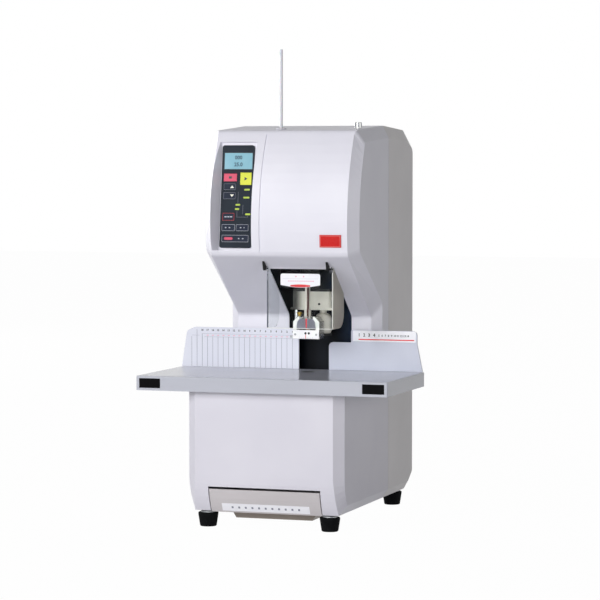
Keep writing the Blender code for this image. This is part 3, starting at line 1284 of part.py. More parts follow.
motor_bottom = MOTOR_PLATE_BOTTOM + MOTOR_PLATE_THICKNESS + GAP
motor_top = motor_bottom + MOTOR_HEIGHT
motor_rim = MOTOR_RADIUS - MOTOR_STEP
shaft_top = motor_bottom + MOTOR_SHAFT_DEPTH
motor_profile = [(0, motor_top), (motor_rim, motor_top), (motor_rim, motor_top - MOTOR_STEP * 3),
                 (MOTOR_RADIUS, motor_top - MOTOR_STEP * 4),
                 (MOTOR_RADIUS, motor_bottom + MOTOR_STEP), (motor_rim, motor_bottom),
                 (MOTOR_SHAFT_RADIUS + GAP, motor_bottom),
                 (MOTOR_SHAFT_RADIUS + GAP, shaft_top + GAP), (0, shaft_top + GAP)]
piece("drill_motor", moved(turned(motor_profile), MOTOR_ACROSS, MOTOR_SETBACK), "motor",
      origin=(MOTOR_ACROSS, MOTOR_SETBACK, motor_bottom))

pulley_top = PULLEY_BOTTOM + PULLEY_HEIGHT
edge = PULLEY_FLANGE_THICKNESS
rim = MOTOR_PULLEY_RADIUS + MOTOR_PULLEY_FLANGE
pulley_profile = [(0, shaft_top), (MOTOR_SHAFT_RADIUS, shaft_top),
                  (MOTOR_SHAFT_RADIUS, pulley_top), (rim, pulley_top), (rim, pulley_top - edge),
                  (MOTOR_PULLEY_RADIUS, pulley_top - edge),
                  (MOTOR_PULLEY_RADIUS, PULLEY_BOTTOM + edge), (rim, PULLEY_BOTTOM + edge),
                  (rim, PULLEY_BOTTOM), (0, PULLEY_BOTTOM)]
piece("motor_pulley", moved(turned(pulley_profile), MOTOR_ACROSS, MOTOR_SETBACK), "steel",
      origin=(MOTOR_ACROSS, MOTOR_SETBACK, PULLEY_BOTTOM))

belt_bottom = PULLEY_BOTTOM + (PULLEY_HEIGHT - BELT_HEIGHT) / 2
tool = (TOOL_ACROSS, TOOL_SETBACK)
motor = (MOTOR_ACROSS, MOTOR_SETBACK)
outer, inner = [
    stadium(tool, SPINDLE_PULLEY_RADIUS + lift, motor, MOTOR_PULLEY_RADIUS + lift)
    for lift in (GAP + BELT_SLACK + BELT_THICKNESS, GAP + BELT_SLACK)
]
belt = piece("drive_belt", prism(outer, belt_bottom, belt_bottom + BELT_HEIGHT, "Z"), "belt",
             origin=(*tool, belt_bottom))
cut(belt, prism(inner, belt_bottom - OVERRUN, belt_bottom + BELT_HEIGHT + OVERRUN, "Z"))

collar = SPINDLE_BEARING_RADIUS + SPINDLE_COLLAR
spindle_profile = [
    (0, SPINDLE_TOP), (SPINDLE_RADIUS, SPINDLE_TOP), (SPINDLE_RADIUS, pulley_top),
    (SPINDLE_PULLEY_RADIUS, pulley_top), (SPINDLE_PULLEY_RADIUS, PULLEY_BOTTOM),
    (SPINDLE_RADIUS, PULLEY_BOTTOM), (SPINDLE_RADIUS, SPINDLE_ARM_TOP + GAP + SPINDLE_COLLAR),
    (collar, SPINDLE_ARM_TOP + GAP + SPINDLE_COLLAR), (collar, SPINDLE_ARM_TOP + GAP),
    (SPINDLE_BEARING_RADIUS, SPINDLE_ARM_TOP + GAP),
    (SPINDLE_BEARING_RADIUS, SPINDLE_ARM_BOTTOM + GAP),
    (SPINDLE_RADIUS, SPINDLE_ARM_BOTTOM + GAP), (SPINDLE_RADIUS, SPINDLE_BOTTOM + CHUCK_HEIGHT),
    (CHUCK_RADIUS, SPINDLE_BOTTOM + CHUCK_HEIGHT - EMBED), (CHUCK_RADIUS, SPINDLE_BOTTOM),
    (0, SPINDLE_BOTTOM)]
piece("drill_spindle", moved(turned(spindle_profile), *tool), "steel",
      origin=(*tool, SPINDLE_BOTTOM))
drill_top = SPINDLE_BOTTOM - GAP
drill = piece("hollow_drill", rod(tool, DRILL_RADIUS, DRILL_BOTTOM + DRILL_BEVEL, drill_top,
                                  sides=SMALL_SIDES + 8), "steel",
              origin=(*tool, DRILL_BOTTOM))
join(drill, rod(tool, DRILL_BORE_RADIUS + EMBED / 4, DRILL_BOTTOM, DRILL_BOTTOM + DRILL_BEVEL
                + EMBED / 4, sides=SMALL_SIDES + 8, end_radius=DRILL_RADIUS))
cut(drill, rod(tool, DRILL_BORE_RADIUS, DRILL_BOTTOM - OVERRUN, drill_top + OVERRUN,
               sides=SMALL_SIDES))

rivet_top = HOUSING_BOTTOM - GAP
round_height = RIVET_RADIUS * 0.75
rivet_profile = [(0, rivet_top), (RIVET_NECK_RADIUS, rivet_top),
                 (RIVET_NECK_RADIUS, rivet_top - RIVET_NECK_HEIGHT)]
shoulder = rivet_top - RIVET_NECK_HEIGHT
for step in range(1, 6):
    angle = math.pi / 2 * step / 5
    rivet_profile.append((RIVET_NECK_RADIUS + (RIVET_RADIUS - RIVET_NECK_RADIUS) * math.sin(angle),
                          shoulder - round_height * (1 - math.cos(angle))))
for step in range(0, 5):
    angle = math.pi / 2 * step / 5
    rivet_profile.append((RIVET_NECK_RADIUS + (RIVET_RADIUS - RIVET_NECK_RADIUS) * math.cos(angle),
                          RIVET_BOTTOM + round_height * (1 - math.sin(angle))))
rivet_profile += [(RIVET_NECK_RADIUS, RIVET_BOTTOM), (0, RIVET_BOTTOM)]
piece("rivet_head", moved(turned(rivet_profile), RIVET_ACROSS, RIVET_SETBACK), "cast",
      origin=(RIVET_ACROSS, RIVET_SETBACK, RIVET_BOTTOM))

screw_spot = (TOOL_ACROSS, ROD_SETBACK)
nut = piece("lift_nut", rod(screw_spot, NUT_FLANGE_RADIUS, BLOCK_TOP + GAP,
                            BLOCK_TOP + GAP + NUT_FLANGE_HEIGHT), "brass",
            origin=(*screw_spot, BLOCK_TOP))
join(nut, rod(screw_spot, NUT_HUB_RADIUS, BLOCK_TOP - NUT_HUB_DEPTH, BLOCK_TOP + GAP + EMBED))
cut(nut, rod(screw_spot, SCREW_RADIUS + GAP, BLOCK_TOP - NUT_HUB_DEPTH - OVERRUN,
             BLOCK_TOP + NUT_FLANGE_HEIGHT + OVERRUN, sides=SMALL_SIDES + 8))

# ---- Pressing foot: plate on two guide pins, clear hood, scale and clamp screw

foot_left = TOOL_ACROSS - FOOT_PLATE_HALF_WIDTH
foot_right = TOOL_ACROSS + FOOT_PLATE_HALF_WIDTH
plate_top = FOOT_PLATE_BOTTOM + FOOT_PLATE_THICKNESS
foot_origin = (*tool, FOOT_PLATE_BOTTOM)
foot = piece("foot_plate", rounded_box((foot_left, FOOT_PLATE_FRONT, FOOT_PLATE_BOTTOM),
                                       (foot_right, FOOT_PLATE_BACK, plate_top),
                                       FOOT_CORNER_RADIUS, "Z"), "steel", origin=foot_origin)
arm_reach = FOOT_PIN_RADIUS + FOOT_CORNER_RADIUS
join(foot, rounded_box((FOOT_PIN_LEFT - arm_reach, FOOT_PLATE_BACK - 3 * FOOT_CORNER_RADIUS,
                        FOOT_PLATE_BOTTOM),
                       (FOOT_PIN_RIGHT + arm_reach, FOOT_PIN_SETBACK + arm_reach, plate_top),
                       FOOT_CORNER_RADIUS, "Z"))
for across in (FOOT_PIN_LEFT, FOOT_PIN_RIGHT):
    join(foot, rod((across, FOOT_PIN_SETBACK), FOOT_PIN_RADIUS, plate_top - EMBED,
                   pin_rest_top, sides=SMALL_SIDES))
cut(foot, rod(tool, FOOT_HOLE_RADIUS, FOOT_PLATE_BOTTOM - OVERRUN, plate_top + OVERRUN))

scale = piece("foot_scale",
              box((foot_left, FOOT_SCALE_FRONT, FOOT_PLATE_BOTTOM + GAP),
                  (foot_right, FOOT_SCALE_FRONT + FOOT_SCALE_THICKNESS,
                   FOOT_PLATE_BOTTOM + FOOT_SCALE_HEIGHT)), "white_plastic",
              origin=foot_origin)
round_edges(scale, FOOT_SCALE_THICKNESS / 6, segments=1)


def hood_outline(wall):
    """Front view of the hood, drawn in by the wall for its hollow."""
    side, top = FOOT_PLATE_HALF_WIDTH - wall, HOOD_TOP_HALF_WIDTH - wall / 2
    bottom = plate_top + GAP if wall == 0 else plate_top - OVERRUN
    return [(TOOL_ACROSS - side, bottom), (TOOL_ACROSS + side, bottom),
            (TOOL_ACROSS + side, HOOD_SHOULDER - wall / 2), (TOOL_ACROSS + top, HOOD_TOP - wall),
            (TOOL_ACROSS - top, HOOD_TOP - wall), (TOOL_ACROSS - side, HOOD_SHOULDER - wall / 2)]


hood = piece("press_foot", prism(hood_outline(0), FOOT_PLATE_FRONT, FOOT_PLATE_BACK, "Y"),
             "clear", origin=foot_origin)
cut(hood, prism(hood_outline(HOOD_WALL), FOOT_PLATE_FRONT + HOOD_WALL,
                FOOT_PLATE_BACK + OVERRUN, "Y"))
cut(hood, box((foot_left + HOOD_WALL, FOOT_PLATE_FRONT - OVERRUN, plate_top - OVERRUN),
              (foot_right - HOOD_WALL, FOOT_PLATE_FRONT + HOOD_WALL + EMBED, HOOD_BOTTOM)))
cut(hood, rod(tool, FOOT_HOLE_RADIUS, HOOD_SHOULDER, HOOD_TOP + OVERRUN))
screw_spot = (FOOT_SCREW_ACROSS, FOOT_SCREW_SETBACK)
screw_base = HOOD_TOP + GAP
screw_top = screw_base + FOOT_SCREW_HEIGHT
knurl = [(0, screw_top), (FOOT_SCREW_RADIUS * 0.8, screw_top),
         (FOOT_SCREW_RADIUS, screw_top - FOOT_SCREW_HEIGHT / 6),
         (FOOT_SCREW_RADIUS, screw_top - FOOT_SCREW_HEIGHT / 2),
         (FOOT_SCREW_RADIUS * 0.6, screw_top - FOOT_SCREW_HEIGHT / 2),
         (FOOT_SCREW_RADIUS * 0.6, screw_base), (0, screw_base)]
piece("foot_screw", moved(turned(knurl, SMALL_SIDES), *screw_spot), "brass",
      origin=(*screw_spot, screw_base))

# ---- Nylon tube, its feed rollers and the bush in the head's top

tube_spot = (TUBE_ACROSS, TUBE_SETBACK)
tube = piece("nylon_tube", rod(tube_spot, TUBE_RADIUS, TUBE_BOTTOM, TUBE_TOP,
                               sides=SMALL_SIDES), "nylon", origin=(*tube_spot, TUBE_BOTTOM))
cut(tube, rod(tube_spot, TUBE_BORE_RADIUS, TUBE_BOTTOM - OVERRUN, TUBE_TOP + OVERRUN,
              sides=SMALL_SIDES))
plate_back = FEED_PLATE_SETBACK + FEED_PLATE_THICKNESS
for side, sign in (("left", -1), ("right", 1)):
    across = TUBE_ACROSS + sign * (TUBE_RADIUS + ROLLER_RADIUS + GAP)
    spot = (across, ROLLER_HEIGHT)
    cut(frame, rod(spot, ROLLER_SHAFT_RADIUS + GAP, FEED_PLATE_SETBACK - OVERRUN,
                   plate_back + OVERRUN, axis="Y", sides=SMALL_SIDES))
    roller = piece(f"feed_roller_{side}",
                   rod(spot, ROLLER_RADIUS, TUBE_SETBACK - ROLLER_HALF_WIDTH,
                       TUBE_SETBACK + ROLLER_HALF_WIDTH, axis="Y", sides=SMALL_SIDES + 8),
                   "rubber", origin=(across, TUBE_SETBACK, ROLLER_HEIGHT))
    join(roller, rod(spot, ROLLER_SHAFT_RADIUS, TUBE_SETBACK + ROLLER_HALF_WIDTH - EMBED,
                     plate_back, axis="Y", sides=SMALL_SIDES))

bush_profile = [(BUSH_BORE_RADIUS, BUSH_FLANGE_THICKNESS),
                (BUSH_RADIUS + BUSH_FLANGE - EMBED, BUSH_FLANGE_THICKNESS),
                (BUSH_RADIUS + BUSH_FLANGE, BUSH_FLANGE_THICKNESS - EMBED), 
                (BUSH_RADIUS + BUSH_FLANGE, GAP), (BUSH_RADIUS, GAP),
                (BUSH_RADIUS, -BUSH_LENGTH), (BUSH_BORE_RADIUS, -BUSH_LENGTH),
                (BUSH_BORE_RADIUS, BUSH_FLANGE_THICKNESS)]
bush = turned(bush_profile)
bush.transform(Matrix.Rotation(TOP_LEAN, 4, "X"))
piece("tube_bush", moved(bush, TUBE_ACROSS, TUBE_SETBACK, head_top(TUBE_SETBACK)),
      "black_plastic")

# ---- Depth knob on the head's top

knob_base = head_top(KNOB_SETBACK + KNOB_RADIUS) + GAP
knob_top = knob_base + KNOB_HEIGHT
stem_bottom = knob_top - KNOB_HEIGHT - KNOB_STEM_LENGTH
knob_profile = [(0, knob_top), (KNOB_RADIUS - EMBED, knob_top),
                (KNOB_RADIUS, knob_top - EMBED), (KNOB_RADIUS, knob_base),
                (KNOB_STEM_RADIUS, knob_base), (KNOB_STEM_RADIUS, stem_bottom),
                (0, stem_bottom)]
knob = piece("depth_knob", moved(turned(knob_profile), KNOB_ACROSS, KNOB_SETBACK),
             "black_plastic", origin=(KNOB_ACROSS, KNOB_SETBACK, knob_base))
flutes = []
for index in range(KNOB_FLUTES):
    angle = 2 * math.pi * index / KNOB_FLUTES
    reach = KNOB_RADIUS + KNOB_FLUTE_RADIUS / 3
    flutes.append(rod((KNOB_ACROSS + reach * math.cos(angle),
                       KNOB_SETBACK + reach * math.sin(angle)), KNOB_FLUTE_RADIUS,
                      knob_base - OVERRUN, knob_top + OVERRUN, sides=8))
cut(knob, merged(flutes))

# ---- Clear guard in front of the throat, and its two brackets

guard_origin = (TOOL_ACROSS, PIN_SETBACK, PIN_HEIGHT)
guard = piece("safety_guard", box((GUARD_LEFT, GUARD_FRONT, GUARD_BOTTOM),
                                  (GUARD_RIGHT, GUARD_FRONT + GUARD_SHEET, GUARD_TOP)),
              "clear", origin=guard_origin)
guard_back = GUARD_FRONT + GUARD_DEPTH
edge_drop = GUARD_EDGE_GAP / slope_cos
ear_back = PIN_SETBACK + GUARD_EAR_RADIUS
side_outline = [((GUARD_FRONT, GUARD_BOTTOM), 0), ((guard_back, GUARD_BOTTOM), GUARD_CORNER_RADIUS),
                ((guard_back, slope_height(guard_back) - edge_drop), GUARD_CORNER_RADIUS / 8),
                ((ear_back, slope_height(ear_back) - edge_drop), 0),
                ((GUARD_FRONT, GUARD_TOP), 0)]
side_path = filleted(side_outline, steps=6, closed=True)
pin_spot = (PIN_SETBACK, PIN_HEIGHT)
for low in (GUARD_LEFT, GUARD_RIGHT - GUARD_SHEET):
    join(guard, prism(side_path, low, low + GUARD_SHEET, "X"))
    join(guard, rod(pin_spot, GUARD_EAR_RADIUS, low, low + GUARD_SHEET, axis="X",
                    sides=SMALL_SIDES + 8))
cut(guard, rod(pin_spot, PIN_RADIUS + GAP, GUARD_LEFT - OVERRUN, GUARD_RIGHT + OVERRUN,
               axis="X", sides=SMALL_SIDES))
cut(guard, box((BRACKET_RIGHT - GUARD_NOTCH / 4, PIN_SETBACK, GUARD_TOP - GUARD_NOTCH),
               (BRACKET_RIGHT + BRACKET_SHEET + GUARD_NOTCH / 4,
                GUARD_FRONT + GUARD_SHEET + OVERRUN, GUARD_TOP + OVERRUN)))

seat_drop = GAP / slope_cos
boss = GUARD_EAR_RADIUS * 0.9
bracket_outline = [(BRACKET_FOOT_FRONT, slope_height(BRACKET_FOOT_FRONT) - seat_drop),
                   (BRACKET_FOOT_BACK, slope_height(BRACKET_FOOT_BACK) - seat_drop),
                   (PIN_SETBACK + boss, PIN_HEIGHT), (PIN_SETBACK, PIN_HEIGHT - boss * 0.9),
                   (PIN_SETBACK - boss, PIN_HEIGHT)]
for side, low, pin_low, pin_high in (
    ("left", BRACKET_LEFT, BRACKET_LEFT + BRACKET_SHEET - EMBED,
     GUARD_LEFT + GUARD_SHEET + EMBED / 2),
    ("right", BRACKET_RIGHT, BRACKET_RIGHT + BRACKET_SHEET - EMBED, GUARD_RIGHT + EMBED / 2),
):
    bracket = piece(f"guard_bracket_{side}",
                    prism(bracket_outline, low, low + BRACKET_SHEET, "X"), "black_plastic")
    join(bracket, rod(pin_spot, boss, low, low + BRACKET_SHEET, axis="X",
                      sides=SMALL_SIDES + 8))
    join(bracket, rod(pin_spot, PIN_RADIUS, pin_low, pin_high, axis="X", sides=SMALL_SIDES))

# ---- Control panel in its recess: plate, window, keys and the board behind them


def panel_box(shares, front, back, shrink=0.0):
    """A block on the panel, from shares of its width and of its height from the top."""
    left, right, top, bottom = shares
    half_width, half_height = PANEL_WIDTH / 2, PANEL_HEIGHT / 2
    low = (-half_width + PANEL_WIDTH * left + shrink, front,
           half_height - PANEL_HEIGHT * bottom + shrink)
    high = (-half_width + PANEL_WIDTH * right - shrink, back,
            half_height - PANEL_HEIGHT * top - shrink)
    return low, high


DISPLAY_SHARES = (0.075, 0.95, 0.074, 0.234)
KEY_SHARES = {
    "key_stop": ((0.067, 0.487, 0.275, 0.354), "key_red"),
    "key_start": ((0.584, 0.94, 0.265, 0.388), "key_yellow"),
    "key_up": ((0.078, 0.46, 0.373, 0.436), "key_dark"),
    "key_down": ((0.075, 0.46, 0.459, 0.526), "key_dark"),
    "key_mode": ((0.072, 0.442, 0.66, 0.735), "key_dark"),
    "key_left": ((0.058, 0.475, 0.77, 0.836), "key_dark"),
    "key_right": ((0.505, 0.897, 0.77, 0.836), "key_dark"),
    "key_power": ((0.069, 0.909, 0.874, 0.944), "key_dark"),
}
half_width, half_height = PANEL_WIDTH / 2, PANEL_HEIGHT / 2
panel = piece("control_panel", rounded_box((-half_width, 0, -half_height),
                                           (half_width, PANEL_THICKNESS, half_height),
                                           PANEL_CORNER_RADIUS, "Y"),
              "panel", parent=PANEL_PLANE)
windows = [box(*panel_box(shares, -OVERRUN, PANEL_THICKNESS + OVERRUN))
           for shares in [DISPLAY_SHARES] + [entry[0] for entry in KEY_SHARES.values()]]
cut(panel, merged(windows), PANEL_PLANE)
piece("display_window", box(*panel_box(DISPLAY_SHARES, GAP, PANEL_THICKNESS, GAP)),
      "display", parent=PANEL_PLANE)
for name, (shares, finish) in KEY_SHARES.items():
    low, high = panel_box(shares, -KEY_PROUD, -KEY_PROUD + KEY_THICKNESS, GAP)
    middle = tuple((a + b) / 2 for a, b in zip(low, high))
    key = piece(name, box(low, high), finish, origin=middle, parent=PANEL_PLANE)
    round_edges(key, KEY_EDGE_RADIUS)
board_front = PANEL_THICKNESS + GAP
board_half = half_width - POCKET_LEDGE - BOARD_MARGIN
board_tall = half_height - POCKET_LEDGE - BOARD_MARGIN
board = piece("control_board", box((-board_half, board_front, -board_tall),
                                   (board_half, board_front + BOARD_THICKNESS, board_tall)),
              "board", parent=PANEL_PLANE)
part_front = board_front + BOARD_THICKNESS - BOARD_THICKNESS / 4
for left, right, low, high, depth in BOARD_PART_SHARES:
    join(board, box((board_half * left, part_front, board_tall * low),
                    (board_half * right, part_front + BOARD_PART_DEPTH * depth,
                     board_tall * high)), PANEL_PLANE)

badge = []
for lift, order in ((GAP, 1), (GAP + BADGE_THICKNESS, -1)):
    row = []
    for step in range(TOE_STEPS):
        height = BADGE_BOTTOM + (BADGE_TOP - BADGE_BOTTOM) * step / (TOE_STEPS - 1)
        row.append((head_curve(height) - lift, height))
    badge += row[::order]
piece("front_badge", prism(badge, BADGE_LEFT, BADGE_RIGHT, "X"), "badge")

# ---- Mains inlet with its rocker, and the supply on the base plate

floor = CASE_BACK - INLET_POCKET_DEPTH + GAP
face = floor + INLET_FLANGE_THICKNESS
inlet = piece("power_inlet",
              rounded_box((INLET_ACROSS - INLET_FLANGE_HALF_WIDTH, floor,
                           INLET_HEIGHT - INLET_FLANGE_HALF_HEIGHT),
                          (INLET_ACROSS + INLET_FLANGE_HALF_WIDTH, face,
                           INLET_HEIGHT + INLET_FLANGE_HALF_HEIGHT),
                          INLET_FLANGE_THICKNESS, "Y"), "black_plastic")
join(inlet, box((INLET_ACROSS - INLET_BODY_HALF_WIDTH, floor - INLET_BODY_DEPTH,
                 INLET_HEIGHT - INLET_BODY_HALF_HEIGHT),
                (INLET_ACROSS + INLET_BODY_HALF_WIDTH, floor + EMBED,
                 INLET_HEIGHT + INLET_BODY_HALF_HEIGHT)))
socket_middle = INLET_HEIGHT - SOCKET_DROP
rocker_middle = INLET_HEIGHT + ROCKER_RISE
cut(inlet, box((INLET_ACROSS - SOCKET_HALF_WIDTH, face - SOCKET_DEPTH,
                socket_middle - SOCKET_HALF_HEIGHT),
               (INLET_ACROSS + SOCKET_HALF_WIDTH, face + OVERRUN,
                socket_middle + SOCKET_HALF_HEIGHT)))
cut(inlet, box((INLET_ACROSS - ROCKER_HALF_WIDTH - GAP, face - ROCKER_WINDOW_DEPTH,
                rocker_middle - ROCKER_HALF_HEIGHT - ROCKER_CLEARANCE),
               (INLET_ACROSS + ROCKER_HALF_WIDTH + GAP, face + OVERRUN,
                rocker_middle + ROCKER_HALF_HEIGHT + ROCKER_CLEARANCE)))
for shift, rise in ((-1, 0), (0, 0.5), (1, 0)):
    across = INLET_ACROSS + shift * BLADE_SPREAD
    height = socket_middle + rise * BLADE_HEIGHT
    join(inlet, box((across - BLADE_WIDTH / 2, face - SOCKET_DEPTH - EMBED,
                     height - BLADE_HEIGHT / 2),
                    (across + BLADE_WIDTH / 2, face - SOCKET_DEPTH / 4,
                     height + BLADE_HEIGHT / 2)))

pivot = face - ROCKER_PIVOT_DEPTH
tall = ROCKER_HALF_HEIGHT
rocker_outline = [(ROCKER_PROUD, tall), (ROCKER_PROUD / 4, 0), (ROCKER_PROUD, -tall),
                  (-tall / 2, -tall * 0.9), (-tall * 0.6, 0), (-tall / 2, tall * 0.9)]
turn = Matrix.Rotation(ROCKER_REST_ANGLE, 2)
rocker_outline = [turn @ Vector(point) + Vector((pivot, rocker_middle))
                  for point in rocker_outline]
piece("power_rocker", prism(rocker_outline, INLET_ACROSS - ROCKER_HALF_WIDTH,
                            INLET_ACROSS + ROCKER_HALF_WIDTH, "X"), "key_red",
      origin=(INLET_ACROSS, pivot, rocker_middle))

supply_bottom = BASE_TOP + GAP
supply = piece("power_supply", box((SUPPLY_LEFT, SUPPLY_FRONT, supply_bottom),
                                   (SUPPLY_RIGHT, SUPPLY_BACK, supply_bottom + SUPPLY_HEIGHT)),
               "zinc")
cut(supply, box((SUPPLY_LEFT + SUPPLY_SHEET, SUPPLY_FRONT - OVERRUN,
                 supply_bottom + SUPPLY_HEIGHT / 2),
                (SUPPLY_RIGHT - SUPPLY_SHEET, SUPPLY_FRONT + SUPPLY_TERMINAL_DEPTH,
                 supply_bottom + SUPPLY_HEIGHT + OVERRUN)))
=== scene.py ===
"""Looks of the desk binding machine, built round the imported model.

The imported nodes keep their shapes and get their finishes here. Printed marks, labels,
washers, screw heads and pale rims that are too fine for the solids are added.
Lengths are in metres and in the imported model's frame: +Z up, -Y towards the user.
"""

import json
import logging
import math
from dataclasses import dataclass
from enum import Enum

import bmesh
import bpy
from mathutils import Matrix, Vector
from mathutils.bvhtree import BVHTree


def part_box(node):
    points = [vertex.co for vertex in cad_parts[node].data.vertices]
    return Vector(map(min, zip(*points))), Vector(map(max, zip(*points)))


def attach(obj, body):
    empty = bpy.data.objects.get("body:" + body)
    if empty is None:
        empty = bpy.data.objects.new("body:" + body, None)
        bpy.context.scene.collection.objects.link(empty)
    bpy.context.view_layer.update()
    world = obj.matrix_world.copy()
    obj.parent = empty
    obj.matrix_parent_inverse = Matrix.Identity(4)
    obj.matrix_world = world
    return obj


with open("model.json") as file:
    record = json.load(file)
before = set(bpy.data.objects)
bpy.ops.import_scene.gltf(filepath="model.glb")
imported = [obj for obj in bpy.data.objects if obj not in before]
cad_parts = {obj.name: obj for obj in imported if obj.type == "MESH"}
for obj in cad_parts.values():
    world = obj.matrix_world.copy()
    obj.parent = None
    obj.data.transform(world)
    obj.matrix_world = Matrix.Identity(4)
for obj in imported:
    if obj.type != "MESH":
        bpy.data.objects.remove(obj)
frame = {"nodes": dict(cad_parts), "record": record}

LOG = logging.getLogger("binding_machine")
HALF_DEPTH = 0.2275  # the machine's footprint is centred, so a setback s lies at Y = s - 0.2275
MM = 0.001
PRINT = 0.00005  # thickness of a printed mark
SHARP = math.radians(35)  # an edge that turns by more than this stays sharp
FIGURE_SIZE = 1.38  # the font's size over the height of its figures
FIGURE_WEIGHT = 0.045  # how far the figures' strokes are fattened, as a share of their height
SIDES = (("left", -1), ("right", 1))
SHARE, FIRST, SECOND = 0, 6, 7  # a colour mix's inputs: the second colour's share, and both colours

Node = bpy.types.Node
Tree = bpy.types.NodeTree
Socket = bpy.types.NodeSocket
Form = bmesh.types.BMesh
Spot = tuple[float, float]
Triple = tuple[float, float, float]
Box = tuple[float, float, float, float]


class Role(Enum):
    """What a printed or added piece is made of, by the record's material slot."""

    BLACK = "black_plastic"
    WHITE = "white_plastic"
    RED = "key_red"
    STEEL = "steel"
    ZINC = "zinc"
    BRASS = "brass"
    DISPLAY = "display"
    PANEL = "panel"
    FENCE = "fence"
    CLEAR = "clear"


def hex_linear(code: str) -> tuple[float, float, float, float]:
    """Turns an sRGB hex colour to linear RGBA.

    Args:
        code: six hex digits.

    Returns:
        Linear red, green, blue and alpha.
    """
    channels = [int(code[i : i + 2], 16) / 255 for i in (0, 2, 4)]
    linear = [c / 12.92 if c <= 0.04045 else ((c + 0.055) / 1.055) ** 2.4 for c in channels]
    return (*linear, 1.0)


def add_node(tree: Tree, kind: str, settings: dict | None = None, links: dict | None = None) -> Node:
    """Adds one shader node.

    Args:
        tree: the node tree it goes into.
        kind: the node's type, such as ShaderNodeTexNoise.
        settings: values by attribute name, or by input name or number.
        links: output sockets by the name or number of the input that they feed.

    Returns:
        The new node.
    """
    made = tree.nodes.new(kind)
    for key, value in (settings or {}).items():
        if isinstance(key, str) and hasattr(made, key):
            setattr(made, key, value)
        else:
            made.inputs[key].default_value = value
    for key, output in (links or {}).items():
        tree.links.new(output, made.inputs[key])
    return made


def maths(tree: Tree, operation: str, settings: dict, links: dict) -> Socket:
    """The result of one sum."""
    return add_node(tree, "ShaderNodeMath", {"operation": operation, **settings}, links).outputs[0]


def blend(tree: Tree, settings: dict, links: dict) -> Socket:
    """The result of mixing two colours."""
    return add_node(tree, "ShaderNodeMix", {"data_type": "RGBA", **settings}, links).outputs[2]


def remapped(tree: Tree, value: Socket, settings: dict) -> Socket:
    """A value moved into another range, which is 0 to 1 unless the settings say otherwise."""
    return add_node(tree, "ShaderNodeMapRange", settings, {"Value": value}).outputs[0]


def object_axes(tree: Tree) -> dict[str, Socket]:
    """The X, Y and Z of the object's own coordinates."""
    coords = add_node(tree, "ShaderNodeTexCoord")
    parts = add_node(tree, "ShaderNodeSeparateXYZ", None, {0: coords.outputs["Object"]})
    return {axis: parts.outputs[axis] for axis in "XYZ"}


@dataclass(frozen=True)
class Patch:
    """A rectangle printed on a surface that faces the user or the back, by its X and Z limits.

    An outline width above 0 prints only its border.
    """

    colour: str
    left: float
    right: float
    bottom: float
    top: float
    outline: float = 0.0


